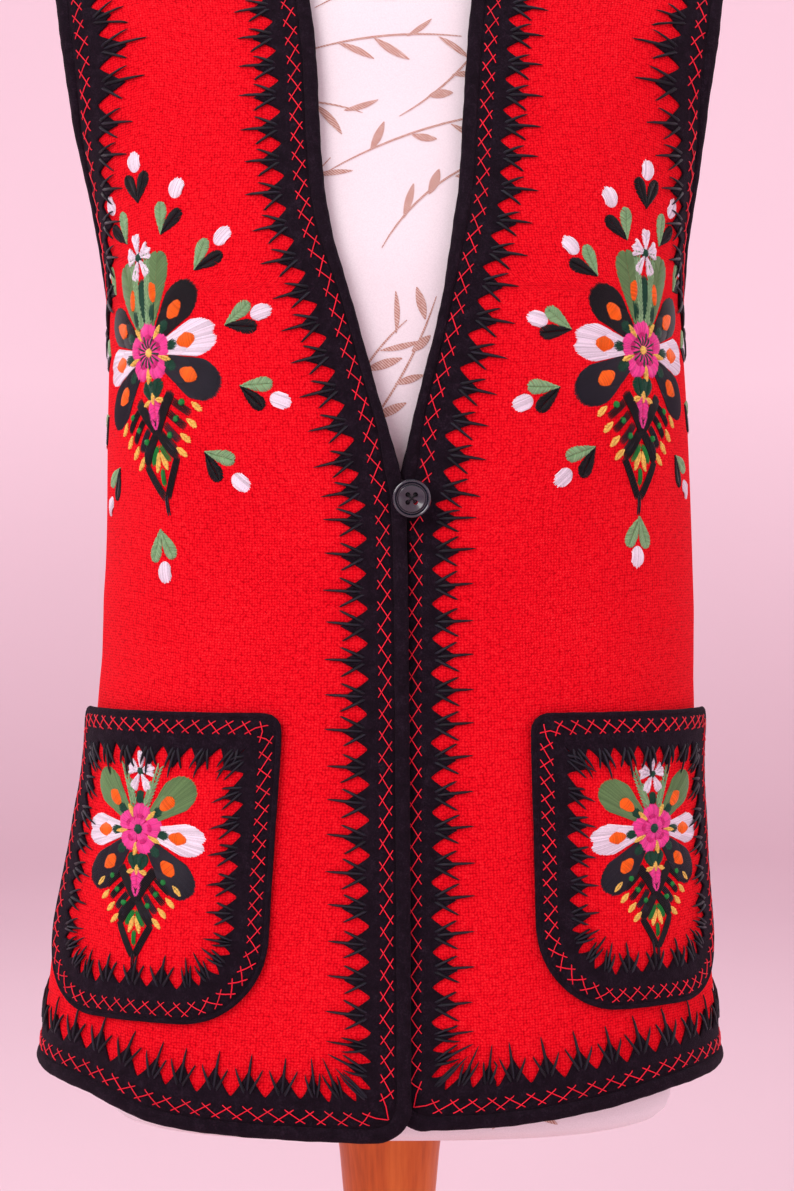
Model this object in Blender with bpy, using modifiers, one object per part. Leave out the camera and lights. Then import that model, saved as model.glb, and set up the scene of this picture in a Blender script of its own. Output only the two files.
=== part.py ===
"""Embroidered folk vest on a limbless dress form with a turned stand.

Metres, +Z up.  The front of the vest faces -Y and the wearer's left is +X.
Heights in the tables are counted from the lower rim of the dress form.
Tables and lengths are in millimetres, and millimetre() brings them to metres.
"""
import math
from collections import namedtuple

import bmesh
import bpy
import numpy as np
from mathutils import Vector

# ---------------------------------------------------------------- driving dimensions, millimetres
FORM_RIM_HEIGHT = 280.0        # lower rim of the dress form above the table
WOOL_THICK = 2.0               # boiled wool cloth
FELT_THICK = 1.4               # border felt
LAYER_GAP = 0.7                # between a panel and what lies on it
SEAM_GAP = 0.3                 # between neighbouring pieces
ROLL_WIDTH = 8.0               # rolled edging, across
ROLL_THICK = 5.2
BORDER_START = ROLL_WIDTH + 0.7
BORDER_VALLEY = 24.0           # felt border, edge to the valleys between the teeth
BORDER_TIP = 36.0              # edge to the tips of the teeth
TOOTH_PITCH = 20.0
CLOTH_INSET = 12.0             # the wool ends this far in, under the felt
CORNER_RADIUS = 20.0           # lower front corners
OVERLAP_LIFT = 4.4             # how far the lapping front stands off
UNDERLAP_DROP = 1.6            # how far the other front is pressed in
SQUARENESS = 2.6               # exponent of the rings' superellipse

SHOULDER_TOP = 789.6           # the shoulder line, in a front view
SHOULDER_SLOPE = 0.3713
SHOULDER_SOFTNESS = 40.0
SHOULDER_ROUND = 190.0         # depth over which the cloth rounds over the shoulder
NECK_POINT = 78.0              # half-width of the neck at the shoulder seam
BACK_NECK_DROP = 18.0
SHOULDER_TIP = 205.0
CHEST_HEIGHT = 600.0           # first guesses for where a row of cloth meets an edge
SHOULDER_BLADE_X = 190.0

# Outer face of the cloth: half-widths to the wearer's right and left, and depths.
Ring = namedtuple("Ring", "height right left front back")
RINGS = [
    Ring(0, 217, 204.5, 141, 133),
    Ring(60, 211, 200.5, 141, 130),
    Ring(120, 204, 195.5, 140, 125),
    Ring(180, 193, 192, 138, 119),
    Ring(240, 181, 188, 136.5, 112),
    Ring(300, 176.8, 187.8, 136, 107),
    Ring(370, 174, 186, 137.5, 106),
    Ring(405, 173.8, 184.6, 138.5, 108),
    Ring(440, 173.2, 183, 139, 110),
    Ring(472, 172.8, 181, 136.5, 112),
    Ring(505, 172, 179, 133, 113),
    Ring(530, 175.5, 180.5, 126, 112),
    Ring(565, 183.5, 187.5, 115, 110),
    Ring(595, 194.5, 195.5, 107, 108),
    Ring(621, 208.5, 208.5, 102, 106),
    Ring(650, 225.5, 226, 99, 104),
    Ring(680, 245, 245, 98, 102),
    Ring(712, 268, 268, 98, 101),
    Ring(790, 300, 300, 98, 100),
]

# Front edges of the two fronts, as distances from the middle to the wearer's left.
FrontEdge = namedtuple("FrontEdge", "height right left")
FRONT_EDGES = [
    FrontEdge(0, 12.8, 1.2),
    FrontEdge(255, 11.5, 1.4),
    FrontEdge(370, 9.6, 2.4),
    FrontEdge(391, 6.2, 7.2),
    FrontEdge(431, -5.3, 16.4),
    FrontEdge(490, -21.6, 30.5),
    FrontEdge(530, -32.9, 36.5),
    FrontEdge(561, -37.8, 40.8),
    FrontEdge(592, -40.2, 42.6),
    FrontEdge(632, -42.3, 45.2),
    FrontEdge(662, -45.4, 47.6),
    FrontEdge(690, -50.5, 51.5),
    FrontEdge(720, -59.5, 60.0),
    FrontEdge(741, -68.5, 68.5),
    FrontEdge(757, -78, 78),
]

# Hem height against the share of the half-width.
Hem = namedtuple("Hem", "share right left back")
HEMS = [
    Hem(0.0, 10.4, 15.8, 24),
    Hem(0.3, 11.6, 18.2, 24.5),
    Hem(0.6, 16, 25.4, 28),
    Hem(0.83, 31, 34, 33.5),
    Hem(1.0, 37.4, 36.8, 37),
]

# Armhole edge as a ring angle from the middle, front and back.
Armhole = namedtuple("Armhole", "height front back")
ARMHOLES = [
    Armhole(507, 90, 90),
    Armhole(511, 86.6, 86.4),
    Armhole(519, 84.6, 84.2),
    Armhole(530, 83.2, 82.4),
    Armhole(565, 78.5, 76.5),
    Armhole(595, 72.5, 69.5),
    Armhole(621, 64, 61),
    Armhole(650, 57, 54.5),
    Armhole(680, 51, 49),
    Armhole(712, 45, 45),
]

# Dress form: half-width and depths.
FormRing = namedtuple("FormRing", "height half front back")
FORM_RINGS = [
    FormRing(0, 156, 92, 98),
    FormRing(4, 168, 104, 110),
    FormRing(14, 174, 110, 116),
    FormRing(60, 173, 111, 116),
    FormRing(130, 160, 106, 108),
    FormRing(200, 135, 95, 88),
    FormRing(250, 125, 90, 80),
    FormRing(310, 130, 100, 86),
    FormRing(375, 142, 121, 95),
    FormRing(440, 150, 130, 101),
    FormRing(505, 157, 124, 105),
    FormRing(565, 168, 108, 103),
    FormRing(621, 180, 95, 99),
    FormRing(660, 187, 92, 97),
    FormRing(690, 187, 91, 95),
    FormRing(706, 181, 91, 94),
    FormRing(716, 170, 91, 94),
    FormRing(728, 141, 91, 94),
    FormRing(740, 109, 91, 94),
    FormRing(750, 80, 91, 94),
]
NECK_HALF, NECK_FRONT, NECK_BACK = 60.0, 50.0, 55.0
NECK_TOP = 834.0

# Each pocket's width, its top and bottom, and its inner side as a share of the half-width.
Pocket = namedtuple("Pocket", "width top bottom inner_share")
POCKET_RIGHT = Pocket(160.0, 253.0, 75.0, 0.333)
POCKET_LEFT = Pocket(149.0, 253.0, 82.0, 0.427)
POCKET_TOP_RADIUS, POCKET_BOTTOM_RADIUS = 10.0, 50.0
POCKET_CLOTH_INSET = 6.1       # the pocket's wool ends this far in, under its felt
POCKET_ROW_SHARES = (1.0, 0.98, 0.94, 0.78, 0.61, 0.44, 0.28, 0.16, 0.06, 0.0)
POCKET_STAND_OFF = 0.8
POCKET_VALLEY, POCKET_TIP, POCKET_PITCH = 21.0, 31.0, 19.0
POCKET_ROLL_WIDTH = 3.6
POCKET_ROLL_BEND = 0.4         # how far a straight length of the roll may leave the curve

BUTTON_X, BUTTON_HEIGHT = 12.9, 375.0
BUTTON_RADIUS, BUTTON_THICK = 11.0, 3.6
BUTTON_HOLE_RADIUS, BUTTON_HOLE_REACH = 1.85, 3.1
SHANK_RADIUS = 1.3
LOOP_RADIUS = 0.6
LOOP_STAND_OFF = 4.5
LOOP_CLEARANCE = 0.45          # between the loop and the shank

STEM_TOP_RADIUS, STEM_FOOT_RADIUS = 33.5, 17.0
BASE_RADIUS, BASE_THICK = 150.0, 26.0

RIGHT, LEFT, MIDDLE = -1, 1, 0
FRONT, BACK = -1, 1


def millimetre(value):
    return value * 0.001


# ---------------------------------------------------------------- the worn shape
def column(table, field, height):
    return float(np.interp(height, [row[0] for row in table], [getattr(row, field) for row in table]))


def slope_of(table, field, height, reach=15.0):
    rise = column(table, field, height + reach) - column(table, field, height - reach)
    return rise / (2 * reach)


def shoulder_height(x):
    return SHOULDER_TOP - SHOULDER_SLOPE * math.hypot(x, SHOULDER_SOFTNESS)


def half_field(x):
    return "right" if x < 0 else "left"


def depth_field(face):
    return "front" if face == FRONT else "back"


def roundness(x, height):
    """Share of the full depth that is left near the shoulder, and how far down that is."""
    down = min(max((shoulder_height(x) - height) / SHOULDER_ROUND, 0.0), 1.0)
    return math.sqrt(1 - (1 - down) ** 2), down


def depth_at(face, x, height):
    share = min(abs(x) / column(RINGS, half_field(x), height), 1.0)
    rest = (1 - share ** SQUARENESS) ** (1 / SQUARENESS)
    return column(RINGS, depth_field(face), height) * roundness(x, height)[0] * rest


def outward(face, x, height):
    """Unit normal of the worn shape, exact at the side seams and on the shoulder line."""
    half = column(RINGS, half_field(x), height)
    half_slope = slope_of(RINGS, half_field(x), height)
    depth = column(RINGS, depth_field(face), height)
    depth_slope = slope_of(RINGS, depth_field(face), height)
    share = min(abs(x) / half, 1.0)
    rest = 1 - share ** SQUARENESS
    round_share, down = roundness(x, height)
    down_by_x = -SHOULDER_SLOPE * x / math.hypot(x, SHOULDER_SOFTNESS) / SHOULDER_ROUND
    down_by_height = -1 / SHOULDER_ROUND
    turning = depth * (1 - down) * rest
    bulge = depth * round_share ** 2
    sideways = math.copysign(bulge * share ** (SQUARENESS - 1) / half, x) - turning * down_by_x
    upward = -(depth_slope * round_share ** 2 * rest + turning * down_by_height
               + bulge * share ** SQUARENESS * half_slope / half)
    forward = face * rest ** (1 - 1 / SQUARENESS) * round_share
    return Vector((sideways, forward, upward)).normalized()


def smooth_step(low, high, value):
    share = min(max((value - low) / (high - low), 0.0), 1.0)
    return share * share * (3 - 2 * share)


def lap(side, x, height):
    """How far the lapped centre front moves the cloth out or in."""
    fade = smooth_step(482, 400, height)
    if side == RIGHT:
        return OVERLAP_LIFT * fade * smooth_step(-84, -8, x)
    if side == LEFT:
        return -UNDERLAP_DROP * fade * smooth_step(50, 16, x)
    return 0.0


Spot = namedtuple("Spot", "face x height")


def place(spot, out=0.0, side=MIDDLE):
    """World point, in metres, at a spot of the worn shape moved out by a distance."""
    normal = outward(*spot)
    reach = out + (lap(side, spot.x, spot.height) if spot.face == FRONT else 0.0)
    y = spot.face * (depth_at(*spot) + SEAM_GAP / 2)
    point = Vector((spot.x, y, spot.height + FORM_RIM_HEIGHT)) + normal * reach
    return point * 0.001


def spot_at_angle(face, sign, angle, height):
    half = column(RINGS, "right" if sign == RIGHT else "left", height)
    return Spot(face, sign * half * math.sin(math.radians(angle)) ** (2 / SQUARENESS), height)


def nearest_spot(point):
    """Spot of the worn shape next to a point given in table millimetres."""
    x, y, height = point
    face = FRONT if y < 0 else BACK
    if height > shoulder_height(x) - 60:
        return Spot(face, x, min(height, shoulder_height(x)))
    half = column(RINGS, half_field(x), height)
    depth = column(RINGS, depth_field(face), height) * roundness(x, height)[0]
    power = SQUARENESS / 2
    angle = math.atan2((abs(x) / half) ** power, (abs(y) / depth) ** power)
    return Spot(face, math.copysign(half * math.sin(angle) ** (1 / power), x), height)


def plain_point(spot):
    return Vector((spot.x, spot.face * depth_at(*spot), spot.height))


def ring_walk(side, height, start_x, distance):
    """Sideways place on a front after a walk along the ring, away from the middle."""
    half = column(RINGS, "right" if side == RIGHT else "left", height)
    angles = np.radians(np.linspace(0, 90, 181))
    xs = half * np.sin(angles) ** (2 / SQUARENESS)
    ys = column(RINGS, "front", height) * np.cos(angles) ** (2 / SQUARENESS)
    walked = np.concatenate([[0], np.cumsum(np.hypot(np.diff(xs), np.diff(ys)))])
    goal = np.interp(abs(start_x), xs, walked) + distance
    return side * float(np.interp(goal, walked, xs))


# ---------------------------------------------------------------- the garment's edges
def front_edge(side, height):
    return column(FRONT_EDGES, "right" if side == RIGHT else "left", height)


def hem_height(face, x, side):
    share = min(abs(x) / column(RINGS, half_field(x), 20.0), 1.0)
    field = "back" if face == BACK else ("right" if side == RIGHT else "left")
    return column(HEMS, field, share)


def hem_path(side, count=60):
    """Hem of a front, from the side seam to the corner's start."""
    spots = []
    stop = front_edge(side, 0) + side * CORNER_RADIUS
    for step in range(count + 1):
        angle = 90 * (1 - step / count)
        height = hem_height(FRONT, side * 150, side)
        x = spot_at_angle(FRONT, side, angle, height).x
        if side * x <= side * stop:
            break
        height = hem_height(FRONT, x, side)
        spots.append(Spot(FRONT, spot_at_angle(FRONT, side, angle, height).x, height))
    return spots


def corner_path(side, count=8):
    """Rounded lower corner of a front, from the hem up to the front edge."""
    edge = front_edge(side, 0)
    low = hem_height(FRONT, edge, side)
    spots = []
    for step in range(count + 1):
        turn = math.radians(90 * step / count)
        x = edge + side * CORNER_RADIUS * (1 - math.sin(turn))
        spots.append(Spot(FRONT, x, low + CORNER_RADIUS * (1 - math.cos(turn))))
    return spots


def front_path(side, step=8.0):
    """Front edge and V neck, from above the corner up to the shoulder seam."""
    low = hem_height(FRONT, front_edge(side, 0), side) + CORNER_RADIUS
    heights = np.linspace(low, 757, int((757 - low) / step))[1:]
    return [Spot(FRONT, front_edge(side, height), float(height)) for height in heights]


def back_neck_path(count=24):
    spots = []
    for step in range(count + 1):
        x = NECK_POINT * math.sin(math.radians(90 * (2 * step / count - 1)))
        spots.append(Spot(BACK, x, shoulder_height(NECK_POINT) - BACK_NECK_DROP * (1 - (x / NECK_POINT) ** 2)))
    return spots


def back_hem_path(count=80):
    spots = []
    for step in range(count + 1):
        angle = 180 * step / count - 90
        sign = RIGHT if angle < 0 else LEFT
        flat = spot_at_angle(BACK, sign, abs(angle), 25.0)
        spots.append(Spot(BACK, flat.x, hem_height(BACK, flat.x, sign)))
    return spots


def armhole_side(face, sign, height):
    angle = column(ARMHOLES, depth_field(face), height)
    return spot_at_angle(face, sign, angle, height)


def armhole_path(sign, count=32):
    """Closed loop, from the underarm up the front edge and down the back edge."""
    low, high = ARMHOLES[0].height, shoulder_height(SHOULDER_TIP)
    rise = [low + (high - low) * (1 - math.cos(math.pi * step / count)) / 2 for step in range(count + 1)]
    front = [armhole_side(FRONT, sign, height) for height in rise]
    back = [armhole_side(BACK, sign, height) for height in reversed(rise)]
    return front + back[1:-1]


class EdgePath:
    """An edge of the garment, walked by length, with what lies inward of it."""

    def __init__(self, spots, inward_sign, closed=False):
        self.closed = closed
        points = [plain_point(spot) for spot in spots]
        if closed:
            points.append(points[0])
        self.points = np.array([tuple(point) for point in points])
        self.walked = np.concatenate([[0], np.cumsum(np.linalg.norm(np.diff(self.points, axis=0), axis=1))])
        self.length = float(self.walked[-1])
        self.inward_sign = inward_sign

    def point(self, distance):
        if self.closed:
            distance %= self.length
        distance = min(max(distance, 0.0), self.length)
        return Vector([np.interp(distance, self.walked, self.points[:, axis]) for axis in range(3)])

    def inset(self, distance, inward):
        """Spot at a distance inward of the edge."""
        along = self.point(distance + 2.0) - self.point(distance - 2.0)
        point = self.point(distance)
        across = outward(*nearest_spot(point)).cross(along).normalized() * self.inward_sign
        return nearest_spot(point + across * inward)


# ---------------------------------------------------------------- solids
parts = bpy.data.collections.new("folk_vest_on_dress_form")


def finish(name, mesh, finish_material, smooth_angle=None):
    mesh.validate()
    if smooth_angle is not None:
        mesh.shade_smooth()
        mesh.set_sharp_from_angle(angle=math.radians(smooth_angle))
    piece = bpy.data.objects.new(name, mesh)
    mesh.materials.append(finish_material)
    parts.objects.link(piece)
    return piece


def material(name, colour, roughness, metallic=0.0):
    made = bpy.data.materials.new(name)
    made.use_nodes = True
    shader = made.node_tree.nodes["Principled BSDF"]
    shader.inputs["Base Color"].default_value = (*colour, 1)
    shader.inputs["Roughness"].default_value = roughness
    shader.inputs["Metallic"].default_value = metallic
    made.diffuse_color = (*colour, 1)
    return made


def closed_mesh(name, points, faces):
    mesh = bpy.data.meshes.new(name)
    mesh.from_pydata([tuple(point) for point in points], [], faces)
    shape = bmesh.new()
    shape.from_mesh(mesh)
    bmesh.ops.triangulate(shape, faces=shape.faces)
    bmesh.ops.recalc_face_normals(shape, faces=shape.faces)
    if shape.calc_volume(signed=True) < 0:
        bmesh.ops.reverse_faces(shape, faces=shape.faces)
    shape.to_mesh(mesh)
    shape.free()
    return mesh


def cloth(name, spots, faces, low, high, side, finish_material):
    """Wall of cloth: faces over a list of spots, between two distances from the worn shape."""
    count = len(spots)
    points = [place(spot, high, side) for spot in spots] + [place(spot, low, side) for spot in spots]
    walls = []
    used = {(a, b) for face in faces for a, b in zip(face, face[1:] + face[:1])}
    for a, b in used:
        if (b, a) not in used:
            walls.append((b, a, a + count, b + count))
    under = [tuple(index + count for index in reversed(face)) for face in faces]
    mesh = closed_mesh(name, points, [tuple(face) for face in faces] + under + walls)
    return finish(name, mesh, finish_material, 30)


def grid_faces(rows, columns, closed=False):
    faces = []
    for row in range(rows if closed else rows - 1):
        above = (row + 1) % rows
        for col in range(columns - 1):
            faces.append((row * columns + col, row * columns + col + 1,
                          above * columns + col + 1, above * columns + col))
    return faces


def tube(name, sections, closed, finish_material):
    """Loft through rings of equal count."""
    count = len(sections[0])
    points = [point for section in sections for point in section]
    faces = []
    for row in range(len(sections) if closed else len(sections) - 1):
        above = (row + 1) % len(sections)
        for col in range(count):
            faces.append((row * count + col, row * count + (col + 1) % count,
                          above * count + (col + 1) % count, above * count + col))
    if not closed:
        faces.append(tuple(range(count)))
        faces.append(tuple(reversed(range(len(points) - count, len(points)))))
    return finish(name, closed_mesh(name, points, faces), finish_material, 40)


# ---------------------------------------------------------------- wool panels
UPPER_SHARES = (1.0, 0.96, 0.88, 0.79, 0.69, 0.58, 0.46, 0.33, 0.21, 0.11, 0.04, 0.01, 0.0)


def row_of_spots(face, x_start, x_stop, height_of, columns):
    """Spots across a panel at even true distances, at the height that each place has."""
    samples = []
    for step in range(161):
        share = math.sin(math.pi * (step / 160 - 0.5)) / 2 + 0.5
        x = x_start + (x_stop - x_start) * share
        samples.append(Spot(face, x, height_of(x)))
    points = np.array([tuple(plain_point(spot)) for spot in samples])
    walked = np.concatenate([[0], np.cumsum(np.linalg.norm(np.diff(points, axis=0), axis=1))])
    goals = np.linspace(0, walked[-1], columns)
    xs = np.interp(goals, walked, points[:, 0])
    return [Spot(face, float(x), height_of(float(x))) for x in xs]


def meet(first_x, height_of, edge_x):
    """Where a row of changing height ends on an edge."""
    x = first_x
    for _ in range(12):
        x = edge_x(height_of(x))
    return x


def front_panel(name, side, finish_material, columns=12):
    neck = EdgePath(front_path(side), -side)
    neck_spots = [neck.inset(distance, CLOTH_INSET) for distance in np.linspace(0, neck.length, 60)]
    neck_heights = [spot.height for spot in neck_spots]
    neck_xs = [spot.x for spot in neck_spots]
    hole = EdgePath(armhole_path(side), side, closed=True)
    hole_spots = [hole.inset(distance, CLOTH_INSET) for distance in np.linspace(0, hole.length, 120)]
    hole_spots = sorted((spot for spot in hole_spots if spot.face == FRONT), key=lambda spot: spot.height)
    hole_heights = [spot.height for spot in hole_spots]
    hole_xs = [spot.x for spot in hole_spots]
    armpit = ARMHOLES[0].height - CLOTH_INSET

    def edge(height):
        return float(np.interp(height, neck_heights, neck_xs))

    def hole_edge(height):
        return float(np.interp(height, hole_heights, hole_xs))

    def half(height):
        return side * column(RINGS, "right" if side == RIGHT else "left", height)

    rows = []

    def hem_row(x):
        return hem_height(FRONT, x, side) + CLOTH_INSET

    rows.append(row_of_spots(FRONT, edge(60), meet(half(30), hem_row, half), hem_row, columns))
    for ring in RINGS:
        if 60 <= ring.height < armpit:
            rows.append(row_of_spots(FRONT, edge(ring.height), half(ring.height),
                                     lambda x, height=ring.height: float(height), columns))
    for share in UPPER_SHARES:
        def height_of(x, share=share):
            return shoulder_height(x) - share * (shoulder_height(x) - armpit)
        inner = meet(edge(CHEST_HEIGHT), height_of, edge)
        outer = half(armpit) if share == 1.0 else meet(hole_edge(CHEST_HEIGHT), height_of, hole_edge)
        rows.append(row_of_spots(FRONT, inner, outer, height_of, columns))
    spots = [spot for row in rows for spot in row]
    return cloth(name, spots, grid_faces(len(rows), columns), -WOOL_THICK, 0.0, side, finish_material)


def back_panel(name, finish_material, half_columns=8):
    neck = EdgePath(back_neck_path(), 1)
    neck_spots = [neck.inset(distance, CLOTH_INSET) for distance in np.linspace(0, neck.length, 60)]
    neck_xs = [spot.x for spot in neck_spots]
    neck_heights = [spot.height for spot in neck_spots]
    armpit = ARMHOLES[0].height - CLOTH_INSET

    def top(x):
        if neck_xs[0] < x < neck_xs[-1]:
            return float(np.interp(x, neck_xs, neck_heights))
        return shoulder_height(x)

    def half_row(sign, height_of, outer):
        return row_of_spots(BACK, 0.0, outer, height_of, half_columns + 1)

    def both_halves(height_of, outer_of):
        right = half_row(RIGHT, height_of, outer_of(RIGHT))
        left = half_row(LEFT, height_of, outer_of(LEFT))
        return list(reversed(right))[:-1] + left

    def half(sign, height):
        return sign * column(RINGS, "right" if sign == RIGHT else "left", height)

    holes = {}
    for sign in (RIGHT, LEFT):
        path = EdgePath(armhole_path(sign), sign, closed=True)
        found = [path.inset(distance, CLOTH_INSET) for distance in np.linspace(0, path.length, 120)]
        found = sorted((spot for spot in found if spot.face == BACK), key=lambda spot: spot.height)
        holes[sign] = ([spot.height for spot in found], [spot.x for spot in found])

    rows = []

    def hem_row(x):
        return hem_height(BACK, x, LEFT) + CLOTH_INSET

    rows.append(both_halves(hem_row, lambda sign: half(sign, hem_row(sign * 200))))
    for ring in RINGS:
        if 60 <= ring.height < armpit:
            rows.append(both_halves(lambda x, height=ring.height: float(height),
                                    lambda sign, height=ring.height: half(sign, height)))
    for share in UPPER_SHARES:
        def height_of(x, share=share):
            return top(x) - share * (top(x) - armpit)

        def outer_of(sign, share=share, height_of=height_of):
            if share == 1.0:
                return half(sign, armpit)
            hole_x = sign * SHOULDER_BLADE_X
            return meet(hole_x, height_of, lambda height: float(np.interp(height, *holes[sign])))
        rows.append(both_halves(height_of, outer_of))
    spots = [spot for row in rows for spot in row]
    columns = 2 * half_columns + 1
    return cloth(name, spots, grid_faces(len(rows), columns), -WOOL_THICK, 0.0, MIDDLE, finish_material)


# ---------------------------------------------------------------- felt borders and rolled edging
Teeth = namedtuple("Teeth", "insets tip pitch low")
CURVE_EASE, CURVE_GAP = 0.4, 1.3  # room that flat facets need where an edge curves
FELT_TEETH = Teeth((BORDER_START, BORDER_VALLEY), BORDER_TIP, TOOTH_PITCH, LAYER_GAP)
CURVED_TEETH = Teeth((BORDER_START + CURVE_EASE, BORDER_VALLEY), BORDER_TIP, TOOTH_PITCH, CURVE_GAP)
CORNER_LEAN = 4.5              # how far the last tooth's tip leans away from a mitred corner
MITRE_SHIFT = 0.4


def is_bent(path, before, middle, after, inset, bend=0.2):
    ends = plain_point(path.inset(before, inset)) + plain_point(path.inset(after, inset))
    return (plain_point(path.inset(middle, inset)) - ends / 2).length > bend


def even_valleys(stops, pitch):
    """Distances of the valleys: one at each stop, and even between them."""
    valleys = [stops[0]]
    for start, stop in zip(stops, stops[1:]):
        count = max(round((stop - start) / pitch), 1)
        valleys += [start + (stop - start) * (tooth + 1) / count for tooth in range(count)]
    return valleys


def border(name, path, stops, side, finish_material, teeth, ends=(None, None)):
    """Toothed strip of felt along an edge.

    A row of spots crosses the strip at each valley, and at a tooth's middle where the edge bends.
    """
    columns = len(teeth.insets)
    valleys = even_valleys(stops, teeth.pitch)
    count = len(valleys) - 1
    spots, faces = [], []

    def add_row(distance, ready=None):
        spots.extend(ready or [path.inset(distance, inset) for inset in teeth.insets])
        return len(spots) - columns

    def join_rows(before, after):
        for col in range(columns - 1):
            faces.append((before + col, before + col + 1, after + col + 1, after + col))

    first = add_row(valleys[0], ends[0])
    before = first
    for tooth in range(count):
        low, high = valleys[tooth], valleys[tooth + 1]
        middle = (low + high) / 2
        last_tooth = tooth == count - 1
        lean = (-CORNER_LEAN if ends[1] and last_tooth else 0) + (CORNER_LEAN if ends[0] and tooth == 0 else 0)
        row = None
        if any(is_bent(path, low, middle, high, inset) for inset in teeth.insets):
            row = add_row(middle)
            join_rows(before, row)
        closing = path.closed and last_tooth
        after = first if closing else add_row(high, ends[1] if last_tooth else None)
        join_rows(before if row is None else row, after)
        spots.append(path.inset(middle + lean, teeth.tip))
        tip = len(spots) - 1
        edge = columns - 1
        if row is None:
            faces.append((before + edge, tip, after + edge))
        else:
            faces.append((before + edge, tip, row + edge))
            faces.append((row + edge, tip, after + edge))
        before = after
    return cloth(name, spots, faces, teeth.low, teeth.low + FELT_THICK, side, finish_material)


def few_distances(path, start, stop, bend=0.28):
    """Distances along a path, closer where it bends more."""
    fine = np.linspace(start, stop, max(int((stop - start) / 2.5), 2))
    kept = [fine[0]]
    for previous, distance in zip(fine, fine[1:]):
        first, last = path.point(kept[-1]), path.point(distance)
        between = path.point((kept[-1] + distance) / 2)
        if (between - (first + last) / 2).length > bend or distance - kept[-1] > 60:
            kept.append(previous)
    kept.append(fine[-1])
    return kept[:-1] if path.closed else kept


def roll(name, path, start, stop, side, finish_material):
    """Rolled edging: an oval tube that hugs the edge."""
    sections = []
    for distance in few_distances(path, start, stop):
        middle = path.inset(distance, ROLL_WIDTH / 2)
        inner = path.inset(distance, ROLL_WIDTH)
        centre = place(middle, 0.3, side)
        across = (place(inner, 0.3, side) - centre).normalized()
        out = outward(*middle)
        ring = []
        for corner in range(6):
            turn = math.radians(60 * corner)
            ring.append(centre + across * millimetre(ROLL_WIDTH / 2) * math.cos(turn)
                        + out * millimetre(ROLL_THICK / 2) * math.sin(turn))
        sections.append(ring)
    return tube(name, sections, path.closed, finish_material)


def front_trim(side, word, felt):
    hem, corner, neck = hem_path(side), corner_path(side), front_path(side)
    path = EdgePath(hem + corner + neck, -side)
    corner_middle = EdgePath(hem + corner[:len(corner) // 2 + 1], -side).length
    mitre = EdgePath(hem, -side).length
    front_start = EdgePath(hem + corner, -side).length
    edge = front_edge(side, 0)
    low = hem_height(FRONT, edge, side)

    def mitre_row(shift):
        outer = path.inset(corner_middle + shift, BORDER_START)
        slide = math.copysign(SEAM_GAP / 2, shift)
        inner = Spot(FRONT, edge + side * (BORDER_VALLEY - slide), low + BORDER_VALLEY + slide)
        return [outer, inner]

    hem_stop = mitre - (BORDER_VALLEY - CORNER_RADIUS)
    front_from = front_start + BORDER_VALLEY - CORNER_RADIUS
    border("hem_border_" + word, path, (SEAM_GAP, hem_stop), side, felt, FELT_TEETH,
           ends=(None, mitre_row(-MITRE_SHIFT)))
    border("front_border_" + word, path, (front_from, path.length - SEAM_GAP), side, felt, FELT_TEETH,
           ends=(mitre_row(MITRE_SHIFT), None))
    roll("front_roll_" + word, path, SEAM_GAP, path.length - SEAM_GAP, side, felt)


# ---------------------------------------------------------------- pockets
def pocket_outline(side, inset=0.0, count=9):
    """Half outline (across, height) at an inset, from the middle of the top to the middle of the bottom."""
    pocket_size = POCKET_RIGHT if side == RIGHT else POCKET_LEFT
    half = pocket_size.width / 2 - inset
    top, bottom = pocket_size.top - inset, pocket_size.bottom + inset
    top_radius = max(POCKET_TOP_RADIUS - inset, 0.5)
    bottom_radius = max(POCKET_BOTTOM_RADIUS - inset, 0.5)
    points = [(0.0, top)]
    for step in range(count):
        turn = math.radians(90 * step / (count - 1))
        points.append((half - top_radius * (1 - math.sin(turn)), top - top_radius * (1 - math.cos(turn))))
    for step in range(count):
        turn = math.radians(90 * step / (count - 1))
        points.append((half - bottom_radius * (1 - math.cos(turn)),
                       bottom + bottom_radius * (1 - math.sin(turn))))
    return points + [(0.0, bottom)]


def pocket_spot(side, across, height):
    pocket_size = POCKET_RIGHT if side == RIGHT else POCKET_LEFT
    start = pocket_size.inner_share * column(RINGS, "right" if side == RIGHT else "left", height)
    return Spot(FRONT, ring_walk(side, height, start, across + pocket_size.width / 2), height)


class PocketPath:
    """Outline of a pocket, walked by its length at one inset.

    Every inset has the same points in order, so a place on one outline has its match on another.
    """

    def __init__(self, side, walked_inset=0.0):
        self.side = side
        self.closed = True
        flat = self.outline(walked_inset)
        self.walked = np.concatenate([[0], np.cumsum(np.linalg.norm(np.diff(flat, axis=0), axis=1))])
        self.length = float(self.walked[-1])

    def outline(self, inset):
        half = pocket_outline(self.side, inset)
        whole = half + [(-across, height) for across, height in reversed(half[:-1])]
        return np.array(whole)

    def top_corner(self):
        """Distance of the middle of the first top corner."""
        return float(self.walked[1 + 4])

    def point(self, distance):
        return plain_point(self.inset(distance, 0.0))

    def inset(self, distance, inward):
        flat = self.outline(inward)
        distance %= self.length
        across, height = (float(np.interp(distance, self.walked, flat[:, axis])) for axis in range(2))
        return pocket_spot(self.side, across, height)


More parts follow.
